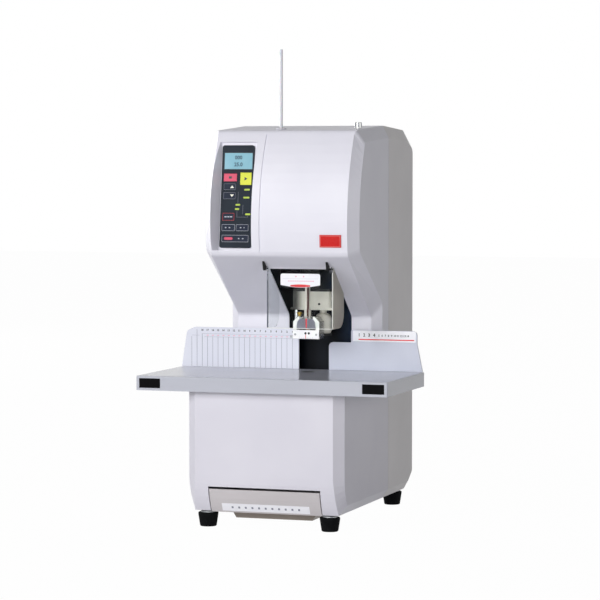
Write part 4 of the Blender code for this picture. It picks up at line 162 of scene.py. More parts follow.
@dataclass(frozen=True)
class Finish:
    """A surface as its maker knows it: its colours, and its texture's sizes in millimetres.

    A shade holds the X of its dark end, the X of its light end and the darkest share.
    """

    name: str
    colour: str
    second: str = ""
    mottle_mm: float = 70.0
    roughness: tuple[float, float] = (0.40, 0.46)
    grain_mm: float = 1.2
    bump_mm: float = 0.01
    stretch: Triple = (1.0, 1.0, 1.0)
    metallic: float = 0.0
    coat: float = 0.0
    coat_roughness: float = 0.06
    transmission: float = 0.0
    ior: float = 1.5
    specular: float = 0.5
    subsurface: float = 0.0
    patches: tuple[Patch, ...] = ()
    shade: Triple | None = None

    def mapped(self, tree: Tree) -> Socket:
        """Object coordinates, stretched the way the surface was worked."""
        coords = add_node(tree, "ShaderNodeTexCoord").outputs["Object"]
        return add_node(tree, "ShaderNodeMapping", {"Scale": self.stretch}, {"Vector": coords}).outputs[0]

    def grain(self, tree: Tree, where: Socket) -> Socket:
        """The fine texture's height, from 0 to 1."""
        settings = {"Scale": 1 / (self.grain_mm * MM), "Detail": 3.0, "Roughness": 0.55}
        return add_node(tree, "ShaderNodeTexNoise", settings, {"Vector": where}).outputs[0]

    def mottle(self, tree: Tree, where: Socket) -> Socket:
        """The slow change of tone over the surface, from 0 to 1."""
        settings = {"Scale": 1 / (self.mottle_mm * MM), "Detail": 2.0}
        soft = add_node(tree, "ShaderNodeTexNoise", settings, {"Vector": where}).outputs[0]
        return remapped(tree, soft, {"From Min": 0.35, "From Max": 0.65})

    def patched(self, tree: Tree, colour: Socket) -> Socket:
        """Prints each patch over the colour.

        Args:
            tree: the material's tree.
            colour: the colour underneath.

        Returns:
            The colour with the patches on it.
        """
        axes = object_axes(tree)

        def inside(patch: Patch, shrink: float) -> Socket:
            """1 inside the patch's limits drawn in by shrink, 0 outside."""
            spans = ((axes["X"], patch.left, patch.right), (axes["Z"], patch.bottom, patch.top))
            tests = [
                maths(tree, "COMPARE", {1: (low + high) / 2, 2: (high - low) / 2 - shrink}, {0: axis})
                for axis, low, high in spans
            ]
            return maths(tree, "MULTIPLY", {}, dict(enumerate(tests)))

        for patch in self.patches:
            mask = inside(patch, 0.0)
            if patch.outline:
                mask = maths(tree, "SUBTRACT", {}, {0: mask, 1: inside(patch, patch.outline)})
            colour = blend(tree, {SECOND: hex_linear(patch.colour)}, {SHARE: mask, FIRST: colour})
        return colour

    def shaded(self, tree: Tree, colour: Socket) -> Socket:
        """Darkens the colour towards one side, where the finish has a shade."""
        if self.shade is None:
            return colour
        dark, light, share = self.shade
        ends = {"From Min": dark, "From Max": light, "To Min": share, "To Max": 1.0}
        ramp = remapped(tree, object_axes(tree)["X"], {"interpolation_type": "SMOOTHSTEP", **ends})
        return blend(tree, {"blend_type": "MULTIPLY", SHARE: 1.0}, {FIRST: colour, SECOND: ramp})

    def height(self, tree: Tree, grain: Socket) -> Socket:
        """The surface's relief: its grain, unless a finish of its own says otherwise."""
        return grain

    def material(self) -> bpy.types.Material:
        """Builds the material once, and gives it again when asked again."""
        ready = bpy.data.materials.get(self.name)
        if ready is not None:
            return ready
        made = bpy.data.materials.new(self.name)
        made.use_nodes = True
        made.diffuse_color = hex_linear(self.colour)
        tree = made.node_tree
        inputs = tree.nodes["Principled BSDF"].inputs
        values = {
            "Metallic": self.metallic,
            "Coat Weight": self.coat,
            "Coat Roughness": self.coat_roughness,
            "Transmission Weight": self.transmission,
            "Subsurface Weight": self.subsurface,
            "Subsurface Scale": MM,
        }
        if self.metallic < 1:
            values |= {"IOR": self.ior, "Specular IOR Level": self.specular}
        for key, value in values.items():
            inputs[key].default_value = value
        where = self.mapped(tree)
        grain = self.grain(tree, where)
        colours = {FIRST: hex_linear(self.colour), SECOND: hex_linear(self.second or self.colour)}
        colour = blend(tree, colours, {SHARE: self.mottle(tree, where)})
        tree.links.new(self.shaded(tree, self.patched(tree, colour)), inputs["Base Color"])
        low, high = self.roughness
        ends = {"From Min": 0.3, "From Max": 0.7, "To Min": low, "To Max": high}
        tree.links.new(remapped(tree, grain, ends), inputs["Roughness"])
        if self.bump_mm:
            depth = {"Strength": 1.0, "Distance": self.bump_mm * MM}
            bump = add_node(tree, "ShaderNodeBump", depth, {"Height": self.height(tree, grain)})
            tree.links.new(bump.outputs[0], inputs["Normal"])
        return made


@dataclass(frozen=True)
class ThreadedSteel(Finish):
    """A ground shaft with a thread rolled on it, one ridge every pitch."""

    pitch_mm: float = 2.0

    def height(self, tree: Tree, grain: Socket) -> Socket:
        """Ridges along the shaft."""
        turns = maths(tree, "MULTIPLY", {1: math.tau / (self.pitch_mm * MM)}, {0: object_axes(tree)["Z"]})
        return maths(tree, "SINE", {}, {0: turns})


def satin_coat(name: str, colour: str, second: str, roughness: Spot, *patches: Patch) -> Finish:
    """A sprayed satin coat on moulded ABS, with its slight orange peel."""
    return Finish(f"painted ABS, {name}", colour, second, 120, roughness, 1.6, 0.012, patches=patches)


def film(name: str, colour: str, second: str, mottle_mm: float, specular: float) -> Finish:
    """Printed polyester over a steel back: smooth, with a shallow gloss."""
    full = f"printed polyester film, {name}"
    return Finish(full, colour, second, mottle_mm, (0.28, 0.34), 1.0, 0.002, specular=specular)


def ink(name: str, colour: str) -> Finish:
    """Screen ink: one flat, dull colour."""
    return Finish(name, colour, "", 10, (0.45, 0.55), 0.8, 0.0)


CASING = satin_coat("bluish white", "E4E3EC", "DFDEE8", (0.38, 0.46))
# The drawer is sprayed a warmer lilac. Its tray, low under the front, is painted a darker brown grey: painted
# shade.
DRAWER_CASING = satin_coat(
    # painted shade along the tray's bottom edge
    "warm lilac", "C7C2C4", "C2BDBF", (0.40, 0.48), Patch("94897F", -0.1, 0.1, 0.0, 0.0266)
)
# The lower front cover has the head's coat, painted a little darker and greyer: painted shade under the
# table.
LOWER_CASING_IN_PAINTED_SHADE = satin_coat("grey lilac in painted shade", "D9D7E0", "D4D2DC", (0.40, 0.48))
# The rear shell's coat is a little warmer than the front's. Its blank rating plate is printed on it.
REAR_CASING = satin_coat(
    "warm grey",
    "E0DDDE",
    "DBD8D9",
    (0.42, 0.50),
    Patch("EDEDEC", 0.030, 0.098, 0.078, 0.122),
    Patch("6E6F74", 0.031, 0.097, 0.079, 0.121, 0.0007),
    Patch("9A9BA0", 0.036, 0.092, 0.0995, 0.1002),
    Patch("9A9BA0", 0.036, 0.092, 0.0895, 0.0902),
)
# Steel sheet with a baked enamel, flowed out smooth: it mirrors the fences at a low angle.
TABLE_ENAMEL = Finish(
    "baked enamel on steel, light grey", "BEC0CA", "BABCC6", 150, (0.15, 0.19), 2.4, 0.0015, specular=0.4
)
# The fences are bent steel in a pale blue-grey. The left one has a white scale film over its front.
FENCE_ENAMEL = Finish("satin enamel on steel, blue grey", "C8CCDA", "C3C7D6", 90, (0.34, 0.40), 1.8, 0.006)
SCALE_FILM = Finish("satin vinyl film, white", "DDDFEA", "D9DBE7", 90, (0.34, 0.40), 1.2, 0.004)
# Glass-filled nylon, moulded in a spark-eroded tool: a fine dull texture.
BLACK_NYLON = Finish("moulded nylon, black", "151619", "101113", 30, (0.40, 0.55), 0.7, 0.02, specular=0.2)
# The liner is the same plastic, polished at the front edge by hands and paper.
LINER_BLACK = Finish(
    "moulded nylon, blue black",
    "1A2A40",
    "142033",
    45,
    (0.36, 0.46),
    0.9,
    0.01,
    specular=0.1,
    shade=(0.050, 0.082, 0.15),
)
CAP_BLACK = Finish("moulded ABS, black", "050506", "08080A", 20, (0.40, 0.50), 0.8, 0.008, specular=0.04)
# Vulcanised rubber: dull, with the dust that such feet pick up.
RUBBER = Finish("vulcanised rubber, black", "08090B", "0F1012", 12, (0.70, 0.85), 0.6, 0.03, specular=0.06)
MEMBRANE = film("navy", "18232F", "151E29", 40, 0.1)
KEY_NAVY = film("key navy", "1D2638", "1A2233", 30, 0.1)
KEY_PINK = film("pink red", "D94868", "D24262", 20, 0.3)
KEY_LIME = film("lime", "DDE23C", "D7DC36", 20, 0.3)
ROCKER_RED = Finish("polycarbonate, red", "C21F24", "B81B20", 15, (0.22, 0.30), 0.8, 0.004, coat=0.3)
# The display's glass over a cyan backlight film.
DISPLAY_FILM = Finish("display glass, cyan", "8FC0D0", "84B8CA", 25, (0.12, 0.18), 1.0, 0.0, specular=0.3)
# Vinyl label, red, with a printed border in a lighter red.
BADGE_VINYL = Finish(
    "vinyl label, red",
    "CE1512",
    "C61210",
    25,
    (0.25, 0.32),
    1.0,
    0.002,
    specular=0.25,
    patches=(Patch("EFA79F", 0.0763, 0.1118, 0.4815, 0.5000, 0.0004),),
)
# Cast acrylic sheet, sawn and folded: clear.
ACRYLIC = Finish("cast acrylic, clear", "FAFCFC", "", 50, (0.015, 0.03), 4.0, 0.0, transmission=1.0, ior=1.12)
# Where it is sawn it turns pale and dull. Fine scratches only frost it: light still comes through.
# The same pale finish paints the highlights on the hood's rims.
SAWN_EDGE_AND_PAINTED_HIGHLIGHT = Finish("cast acrylic, sawn edge and painted highlight", "E9EAE6", "DEE0DC", 12, (0.30, 0.42), 0.8, 0.004)
WORN_ACRYLIC = Finish(
    "cast acrylic, fine scratches",
    "DEDAD2",
    "D3CFC7",
    40,
    (0.50, 0.60),
    0.6,
    0.002,
    transmission=0.75,
    ior=1.2,
    specular=0.3,
)
# The hood is a small acrylic moulding, a little frosted by paper dust.
# Its front pane is painted grey purple: a painted reflection.
HOOD_ACRYLIC = Finish(
    "moulded acrylic, dusty", "F8F8F6", "", 20, (0.08, 0.16), 1.2, 0.004, transmission=0.9, ior=1.25
)
ACRYLIC_PAINTED_REFLECTION = Finish(
    "moulded acrylic, painted reflection",
    "9799A6",
    "8B8D9A",
    14,
    (0.35, 0.45),
    0.8,
    0.002,
    transmission=0.4,
    ior=1.2,
)
WHITE_ABS = Finish("moulded ABS, white", "F2F2F4", "EDEDF0", 20, (0.32, 0.40), 0.8, 0.004)
# Die-cast aluminium, tumbled and lacquered: beige grey, faint flow marks.
CAST_ALUMINIUM = Finish(
    "die-cast aluminium, beige grey", "CDCAC0", "BFBCB2", 22, (0.42, 0.58), 0.9, 0.03, metallic=0.15
)
# The drill head's left end is painted dark, a painted shade that thins out to the right.
# Above the housing's lit part the casting is painted black: painted shade under the head.
HEAD_ALUMINIUM_WITH_PAINTED_SHADE = Finish(
    "die-cast aluminium, painted shade at the left and top",
    "C8C5BB",
    "BCB9AF",
    22,
    (0.42, 0.58),
    0.9,
    0.03,
    metallic=0.1,
    # painted shade under the head: black over the casting above the housing's lit part
    patches=(Patch("15171A", -0.1, 0.2, 0.3995, 0.7),),
    # painted shade darkening the left end
    shade=(-0.001, 0.021, 0.05),
)
# Ground steel: the marks of the wheel run round, so they are short along Z.
GROUND_STEEL = Finish(
    "ground steel", "B9BBBD", "A8AAAC", 12, (0.18, 0.30), 2.0, 0.004, (1, 1, 14), metallic=1.0
)
THREAD_STEEL = ThreadedSteel(
    "rolled thread steel", "A9ABAD", "9A9C9E", 12, (0.25, 0.35), 1.0, 0.5, metallic=1.0
)
MILLED_LIP = Finish(
    "milled aluminium", "E4E1D8", "DAD7CE", 14, (0.30, 0.40), 0.8, 0.006, (1, 8, 8), metallic=0.3
)
# The spindle is ground bright. A red-brown strip over its keyway is a painted dark reflection,
# and its top end is painted black as painted shade under the head.
SPINDLE_STEEL_PAINTED_REFLECTION_AND_SHADE = Finish(
    "ground steel, painted reflection and shade",
    "C9C6BF",
    "BDBAB3",
    9,
    (0.28, 0.38),
    1.2,
    0.004,
    (1, 1, 10),
    metallic=0.4,
    # painted dark reflection over the keyway, and painted shade over the top end
    patches=(Patch("42221E", 0.0302, 0.0335, 0.354, 0.544), Patch("15171A", 0.0, 0.06, 0.428, 0.544)),
)
# The hollow drill is shining steel painted brown all over: painted shade.
DRILL_STEEL_IN_PAINTED_SHADE = Finish(
    "steel, painted brown shade", "8A6A5E", "75564B", 9, (0.25, 0.38), 1.2, 0.004, (1, 1, 10), metallic=0.9
)
# Nickel-plated brass, knurled and bright. Its grooves are painted dark with separate bars: painted shade.
NICKEL = Finish("nickel plate on brass", "D9DAD8", "CFD0CE", 8, (0.16, 0.24), 1.0, 0.003, metallic=0.6)
# Zinc plate with a clear passivation: grey with a faint spangle a few millimetres wide.
ZINC_PLATE = Finish("zinc-plated steel", "B4B6B8", "9C9FA3", 7, (0.32, 0.48), 3.0, 0.004, metallic=1.0)
TURNED_BRASS = Finish(
    "turned brass", "A08848", "8B7338", 6, (0.22, 0.34), 1.2, 0.006, (1, 1, 12), metallic=1.0
)
CAST_IRON = Finish("cast iron, painted dark grey", "45484B", "3B3E41", 25, (0.50, 0.66), 1.6, 0.08)
MOTOR_CAN = Finish("drawn steel, black lacquer", "26272A", "202124", 25, (0.34, 0.44), 1.5, 0.006, coat=0.2)
# A flat belt of woven polyester in rubber: fine cross ribs.
BELT_RUBBER = Finish("rubber belt", "1B1B1C", "262627", 6, (0.65, 0.80), 0.7, 0.05, (1, 1, 3))
# Extruded nylon: milky, slightly see-through, drawn lines along its length.
TUBE_NYLON = Finish(
    "extruded nylon, milky", "D9DADF", "D0D2D8", 30, (0.30, 0.38), 1.0, 0.003, (6, 6, 0.3), subsurface=0.3
)
BOARD_GREEN = Finish("glass epoxy board, green", "1F5B37", "2F7A4A", 3, (0.30, 0.42), 1.5, 0.03, coat=0.3)
INK_BLACK = ink("screen ink, black", "1E2026")
INK_GREY = ink("screen ink, grey", "7C7E8E")
INK_PALE = ink("screen ink, pale grey", "B9BDCB")
INK_WHITE = ink("screen ink, white", "F4F4E4")
INK_RED = ink("screen ink, red", "D92B33")
INK_PINK = ink("screen ink, pink", "E7A9BC")
INK_GREEN = ink("screen ink, lime green", "AFC63A")
INK_SLATE = ink("display segment, slate", "2B5468")
LABEL_PAPER = Finish("vinyl label, white", "F3F3F8", "EFEFF5", 20, (0.34, 0.42), 0.9, 0.003)

NODE_FINISHES: dict[str, Finish] = {
    "lower_front_cover": LOWER_CASING_IN_PAINTED_SHADE,
    "chip_drawer": DRAWER_CASING,
    "left_fence": SCALE_FILM,
    "throat_liner": LINER_BLACK,
    "apron_cap_left": CAP_BLACK,
    "apron_cap_right": CAP_BLACK,
    "power_rocker": ROCKER_RED,
    "press_foot": HOOD_ACRYLIC,
    "tube_bush": CASING,
    "depth_knob": NICKEL,
    "lead_screw": THREAD_STEEL,
    "drill_spindle": SPINDLE_STEEL_PAINTED_REFLECTION_AND_SHADE,
    "drill_head": HEAD_ALUMINIUM_WITH_PAINTED_SHADE,
    "hollow_drill": DRILL_STEEL_IN_PAINTED_SHADE,
}
SLOT_FINISHES: dict[str, Finish] = {
    "casing": CASING,
    "rear_casing": REAR_CASING,
    "table": TABLE_ENAMEL,
    "fence": FENCE_ENAMEL,
    "black_plastic": BLACK_NYLON,
    "rubber": RUBBER,
    "panel": MEMBRANE,
    "display": DISPLAY_FILM,
    "key_red": KEY_PINK,
    "key_yellow": KEY_LIME,
    "key_dark": KEY_NAVY,
    "badge": BADGE_VINYL,
    "clear": ACRYLIC,
    "white_plastic": WHITE_ABS,
    "cast": CAST_ALUMINIUM,
    "steel": GROUND_STEEL,
    "zinc": ZINC_PLATE,
    "brass": TURNED_BRASS,
    "frame": CAST_IRON,
    "motor": MOTOR_CAN,
    "belt": BELT_RUBBER,
    "nylon": TUBE_NYLON,
    "board": BOARD_GREEN,
}


def finish_nodes() -> None:
    """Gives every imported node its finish."""
    for entry in frame["record"]["subparts"]:
        finish = NODE_FINISHES.get(entry["node"], SLOT_FINISHES[entry["material_slot"]])
        mesh = frame["nodes"][entry["node"]].data
        mesh.materials.clear()
        mesh.materials.append(finish.material())
    LOG.info("finished %d packed nodes", len(frame["nodes"]))


# ---- Making pieces: all flat marks are drawn in X and Z and face -Y


def facing(across: float, setback: float, height: float) -> Matrix:
    """The place of a mark on an upright face that looks at the user."""
    return Matrix.Translation((across, setback - HALF_DEPTH, height))


def placed(name: str, data: bpy.types.ID) -> bpy.types.Object:
    """A new object of the data given, in the scene."""
    made = bpy.data.objects.new(name, data)
    bpy.context.scene.collection.objects.link(made)
    return made


def settle(name: str, form: Form, place: Matrix, finish: Finish, body: str) -> bpy.types.Object:
    """Makes a piece of a bmesh, with its place in its mesh, and attaches it to its body.

    Args:
        name: the piece's name.
        form: its shape, which is freed.
        place: where the shape goes.
        finish: what it is made of.
        body: the body that carries it.

    Returns:
        The new object.
    """
    form.transform(place)
    bmesh.ops.remove_doubles(form, verts=form.verts, dist=1e-7)
    bmesh.ops.recalc_face_normals(form, faces=form.faces)
    mesh = bpy.data.meshes.new(name)
    form.to_mesh(mesh)
    form.free()
    mesh.materials.append(finish.material())
    mesh.set_sharp_from_angle(angle=SHARP)
    made = placed(name, mesh)
    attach(made, body)
    LOG.info("piece %s rides on %s", name, body)
    return made


def thicken(form: Form, thickness: float, way: Vector = Vector((0, -1, 0))) -> None:
    """Turns flat faces into a plate whose back stays put and whose front comes forward, the way given."""
    pulled = bmesh.ops.extrude_face_region(form, geom=form.faces[:], use_keep_orig=True)
    top = [item for item in pulled["geom"] if isinstance(item, bmesh.types.BMVert)]
    bmesh.ops.translate(form, verts=top, vec=way * thickness)


def rounded_sheet(form: Form, width: float, tall: float, corner: float, middle: Vector) -> None:
    """Adds a flat rectangle with round corners, in the XZ plane.

    Args:
        form: the bmesh that it goes into.
        width: its size along X.
        tall: its size along Z.
        corner: the corners' radius, or 0.
        middle: its centre.
    """
    size = Matrix.Diagonal((width, tall, 1, 1))
    turned = Matrix.Translation(middle) @ Matrix.Rotation(math.pi / 2, 4, "X") @ size
    made = bmesh.ops.create_grid(form, x_segments=1, y_segments=1, size=0.5, matrix=turned)
    if corner:
        how = {"offset_type": "OFFSET", "segments": 5, "profile": 0.5, "affect": "VERTICES", "material": -1}
        bmesh.ops.bevel(form, geom=made["verts"], offset=corner, **how)


def skin(node: str, low: Vector, high: Vector, way: Vector, thickness: float) -> Form:
    """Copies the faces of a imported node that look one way, as a sheet that lies on them.

    Args:
        node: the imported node.
        low: the lowest corner of the box that the faces' middles lie in.
        high: its highest corner.
        way: where the faces look.
        thickness: the sheet's thickness. It stands a third of that off the node.

    Returns:
        The closed sheet.
    """
    form = bmesh.new()
    form.from_mesh(frame["nodes"][node].data)
    bmesh.ops.remove_doubles(form, verts=form.verts, dist=1e-6)
    others = []
    for face in form.faces:
        middle = face.calc_center_median()
        inside = all(low[axis] < middle[axis] < high[axis] for axis in range(3))
        if not inside or face.normal.dot(way) < 0.5:
            others.append(face)
    bmesh.ops.delete(form, geom=others, context="FACES")
    forward = sum((face.normal * face.calc_area() for face in form.faces), Vector()).normalized()
    bmesh.ops.translate(form, verts=form.verts, vec=forward * thickness / 3)
    thicken(form, thickness, forward)
    return form


def on_surface(mesh: bpy.types.Mesh, near: Vector) -> Matrix:
    """The place of a mark on the point of a mesh that is nearest to a point in front of it."""
    tree = BVHTree.FromPolygons([v.co for v in mesh.vertices], [face.vertices[:] for face in mesh.polygons])
    spot, normal, _, _ = tree.find_nearest(near)
    return Matrix.Translation(spot) @ normal.to_track_quat("-Y", "Z").to_matrix().to_4x4()


def plate(width: float, tall: float, corner: float = 0.0, thickness: float = PRINT) -> Form:
    """A plate with round corners, centred, its back in the XZ plane."""
    form = bmesh.new()
    rounded_sheet(form, width, tall, corner, Vector())
    thicken(form, thickness)
    return form


def ring(width: float, tall: float, corner: float, line: float, thickness: float = PRINT) -> Form:
    """A printed outline: the plate's border, of the line's width."""
    form = bmesh.new()
    rounded_sheet(form, width, tall, corner, Vector())
    bmesh.ops.inset_region(
        form, faces=form.faces[:], thickness=line, use_even_offset=True, use_boundary=True
    )
    middle = min(form.faces, key=lambda face: face.calc_center_median().length)
    bmesh.ops.delete(form, geom=[middle], context="FACES")
    thicken(form, thickness)
    return form


def strips(boxes: list[Box], thickness: float = PRINT) -> Form:
    """Several plain bars as one piece.

    Args:
        boxes: left, right, bottom and top of each.
        thickness: how far they stand out.

    Returns:
        The bars' bmesh.
    """
    form = bmesh.new()
    for left, right, bottom, top in boxes:
        middle = Vector(((left + right) / 2, 0, (bottom + top) / 2))
        rounded_sheet(form, right - left, top - bottom, 0, middle)
    thicken(form, thickness)
    return form


def outline_plate(points: list[Spot], thickness: float = PRINT) -> Form:
    """A plate of any outline, given by its corners in X and Z."""
    form = bmesh.new()
    form.faces.new([form.verts.new((x, 0, z)) for x, z in points])
    thicken(form, thickness)
    return form


def digits(words: list[tuple[str, float, float]], tall: float, thickness: float = PRINT) -> Form:
    """Plain numbers as thin plates.

    Args:
        words: each number's text and the X and Z of its middle.
        tall: the figures' height.
        thickness: how far they stand out.

    Returns:
        One bmesh with all of them.
    """
    form = bmesh.new()
    for text, across, height in words:
        curve = bpy.data.curves.new("figures", "FONT")
        curve.body = text
        curve.size = tall * FIGURE_SIZE
        curve.align_x = "CENTER"
        curve.align_y = "CENTER"
        curve.extrude = thickness / 2
        curve.resolution_u = 2
        curve.offset = tall * FIGURE_WEIGHT
        helper = placed("figures", curve)
        mesh = bpy.data.meshes.new_from_object(helper.evaluated_get(bpy.context.evaluated_depsgraph_get()))
        mesh.transform(
            Matrix.Translation((across, -thickness / 2, height)) @ Matrix.Rotation(math.pi / 2, 4, "X")
        )
        form.from_mesh(mesh)
        bpy.data.objects.remove(helper)
        bpy.data.curves.remove(curve)
        bpy.data.meshes.remove(mesh)
    return form


def turned(profile: list[Spot], steps: int = 32) -> Form:
    """A turned piece round the Z axis, spun from its profile of radius and height."""
    form = bmesh.new()
    line = [form.verts.new((radius, 0, height)) for radius, height in profile]
    edges = [form.edges.new(pair) for pair in zip(line, line[1:])]
    bmesh.ops.spin(
        form, geom=line + edges, cent=(0, 0, 0), axis=(0, 0, 1), angle=math.tau, steps=steps, use_merge=True
    )
    return form


def screw_head(radius: float, tall: float, socket: float) -> Form:
    """A socket screw's head round the Z axis, its seat at 0 and its socket on top, drawn round."""
    floor = tall * 0.4
    rim = [(radius, 0), (radius, tall * 0.8), (radius * 0.88, tall)]
    return turned([(0, 0), *rim, (socket, tall), (socket * 0.98, floor), (0, floor)], 24)


TOWARDS_USER = Matrix.Rotation(math.pi / 2, 4, "X")  # turns +Z to -Y


# ---- The machine's sub-assemblies


@dataclass
class ControlPanel:
    """The membrane panel: its printed frames, signs, lamps and the display's figures."""

    width: float = 0.059
    tall: float = 0.17907
    across: float = -0.0845
    setback: float = 0.12225
    height: float = 0.566
    tilt: float = math.atan2(0.0195, 0.178)
    key_proud: float = 0.0004
    frame_inset: float = 0.0006
    frame_corner: float = 0.0012
    line: float = 0.00042

    def on_panel(self, across: float, down: float, proud: float = 0.0) -> Matrix:
        """The place of a mark by its shares across and down the membrane."""
        base = facing(self.across, self.setback, self.height) @ Matrix.Rotation(-self.tilt, 4, "X")
        return base @ Matrix.Translation(((across - 0.5) * self.width, -proud, (0.5 - down) * self.tall))

    def on_key(self, key: str, mark: str, form: Form, spot: Spot, finish: Finish) -> None:
        """Prints a mark on a key."""
        settle(f"{key}_{mark}", form, self.on_panel(*spot, self.key_proud), finish, f"{key}_cap")

    def on_film(self, name: str, form: Form, spot: Spot, finish: Finish) -> None:
        """Prints a mark on the membrane itself."""
        settle(name, form, self.on_panel(*spot), finish, "machine")

    def build(self) -> None:
        """Prints everything on the panel. A key's frame lies just inside its left, right, top and bottom."""
        keys = {
            "key_up": ((0.078, 0.46, 0.373, 0.436), INK_GREY),
            "key_down": ((0.075, 0.46, 0.459, 0.526), INK_GREY),
            "key_mode": ((0.072, 0.442, 0.66, 0.735), INK_RED),
            "key_left": ((0.058, 0.475, 0.77, 0.836), INK_PALE),
            "key_right": ((0.505, 0.897, 0.77, 0.836), INK_PALE),
            "key_power": ((0.069, 0.909, 0.874, 0.944), INK_PALE),
        }
        for key, ((left, right, top, bottom), finish) in keys.items():
            wide = (right - left) * self.width - self.frame_inset
            tall = (bottom - top) * self.tall - self.frame_inset
            middle = ((left + right) / 2, (top + bottom) / 2)
            form = ring(wide, tall, self.frame_corner, self.line)
            self.on_key(key, "frame", form, middle, finish)
        self.arrows()
        self.key_signs()
        self.lamps()
        self.display()

    def arrows(self) -> None:
        """White arrow heads on the up and down keys."""
        half, rise, waist = 0.0036, 0.0046, 0.35
        foot, neck = -rise / 2, rise * 0.1
        up = [(-half, foot), (half, foot), (half * waist, neck), (0, rise / 2), (-half * waist, neck)]
        down = [(x, -z) for x, z in reversed(up)]
        for key, points, share in (("key_up", up, 0.4045), ("key_down", down, 0.4925)):
            self.on_key(key, "arrow", outline_plate(points), (0.345, share), INK_WHITE)

    def key_signs(self) -> None:
        """Generic signs: a square for stop, a wedge for start, bars on the others."""
        side = 0.0052
        square = plate(side, side * 0.8, 0.0004)
        self.on_key("key_stop", "sign", square, (0.277, 0.3145), INK_BLACK)
        wedge = [(-side * 0.45, -side * 0.6), (side * 0.6, 0), (-side * 0.45, side * 0.6)]
        self.on_key("key_start", "sign", outline_plate(wedge), (0.762, 0.3265), INK_BLACK)
        half_bar = 0.0009
        bars = {
            "key_mode": ([(-0.0072, -0.0030), (-0.0018, 0.0018), (0.0030, 0.0072)], (0.257, 0.6975)),
            "key_left": ([(-0.0060, -0.0035), (0.0010, 0.0035)], (0.267, 0.803)),
            "key_right": ([(-0.0040, -0.0015), (0.0030, 0.0042)], (0.700, 0.803)),
            "key_power": ([(0.0055, 0.0080), (0.0130, 0.0155)], (0.489, 0.909)),
        }
        for key, (spans, spot) in bars.items():
            form = strips([(low, high, -half_bar, half_bar) for low, high in spans])
            self.on_key(key, "sign", form, spot, INK_PALE)
        pill = plate(0.0158, 0.0046, 0.0022)
        self.on_key("key_power", "pill", pill, (0.279, 0.909), KEY_PINK)

    def lamps(self) -> None:
        """Green lamp windows by place and width, and the thin lines that lead to them."""
        lamps = (
            ((0.81, 0.433), 0.0100),
            ((0.797, 0.510), 0.0112),
            ((0.54, 0.580), 0.0084),
            ((0.52, 0.622), 0.0078),
            ((0.86, 0.672), 0.0096),
        )
        for number, (spot, wide) in enumerate(lamps, 1):
            self.on_film(f"lamp_{number}", plate(wide, 0.0030, 0.0012), spot, INK_GREEN)
        thin = 0.00018
        runs = (
            (0.54, 0.54, 0.455, 0.565),
            (0.70, 0.70, 0.580, 0.672),
            (0.52, 0.52, 0.637, 0.700),
            (0.52, 0.86, 0.700, 0.700),
            (0.86, 0.86, 0.687, 0.700),
        )
        bars = [
            (
                (left - 0.5) * self.width - thin,
                (right - 0.5) * self.width + thin,
                (0.5 - bottom) * self.tall - thin,
                (0.5 - top) * self.tall + thin,
            )
            for left, right, top, bottom in runs
        ]
        self.on_film("lamp_lines", strips(bars), (0.5, 0.5), INK_GREY)

    def display(self) -> None:
        """Plain figures on the display and the thin frame round it."""
        middle, gap = (0.5125, 0.154), 0.0010
        form = digits([("000", 0, 0.0058), ("25.0", 0, -0.0062)], 0.0066)
        self.on_film("display_figures", form, middle, INK_SLATE)
        form = ring(0.875 * self.width + gap, 0.16 * self.tall + gap, 0.0008, 0.0005)
        self.on_film("display_frame", form, middle, INK_BLACK)


@dataclass
class Fences:
    """The scale on the left fence and the label on the right one."""

    setback: float = 0.221
    first_line: float = -0.206
    pitch: float = 0.010
    line: float = 0.0006
    end_margin: float = 0.004
    foot_height: float = 0.2606
    line_top: float = 0.3140
    figure_height: float = 0.3255
    figure_tall: float = 0.0034

    def mark(self, name: str, form: Form, finish: Finish, role: Role = Role.FENCE, proud: float = 0) -> None:
        """Prints a mark on the fences' front, or on the label that stands proud of it."""
        settle(name, form, facing(0, self.setback - proud, 0), finish, "machine")

    def build(self) -> None:
        """Prints both fences."""
        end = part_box("left_fence")[1][0] - self.end_margin
        count = int((end - self.first_line) / self.pitch) + 1
        spots = [self.first_line + self.pitch * step for step in range(count)]
        half = self.line / 2
        spans = [(x, self.foot_height, self.line_top) for x in spots]
        spans += [(spots[1], self.line_top, 0.3265), (spots[2], self.line_top, 0.3195)]
        lines = strips([(x - half, x + half, low, high) for x, low, high in spans])
        self.mark("scale_lines", lines, INK_GREY)
        rules = [
            (spots[2], end, 0.3192, 0.3195),
            (spots[2] + 0.004, end, 0.3135, 0.3138),
            (spots[0], spots[1] + 0.005, 0.3160, 0.3163),
        ]
        self.mark("scale_rules", strips(rules), INK_GREY)
        figures = [(str(count - step), x, self.figure_height) for step, x in enumerate(spots) if step > 1]
        self.mark("scale_figures", digits(figures, self.figure_tall), INK_BLACK)
        ticks = [(x - 0.0014, x + 0.0022, 0.3158, 0.3172) for x in spots[3:]]
        self.mark("scale_pink_row", strips(ticks), INK_PINK)
        self.right_label()

    def right_label(self) -> None:
        """A plain white band with plain numbers, and a red rule under them."""
        left, right = 0.096, 0.211
        place = facing((left + right) / 2, self.setback, 0.3210)
        settle("fence_label", plate(right - left, 0.0190, 0.0010), place, LABEL_PAPER, "machine")
        rule = strips([(0.1065, 0.208, 0.3140, 0.3160)])
        self.mark("fence_label_rule", rule, INK_RED, Role.RED, PRINT)
        large = digits([(str(step), 0.0985 + 0.0092 * step, 0.3226) for step in (1, 2, 3, 4)], 0.0056)
        self.mark("fence_label_figures", large, INK_BLACK, Role.BLACK, PRINT)
        small = digits([(str(step), 0.1440 + 0.0058 * (step - 5), 0.3221) for step in range(5, 15)], 0.0036)
        self.mark("fence_label_small_figures", small, INK_BLACK, Role.BLACK, PRINT)


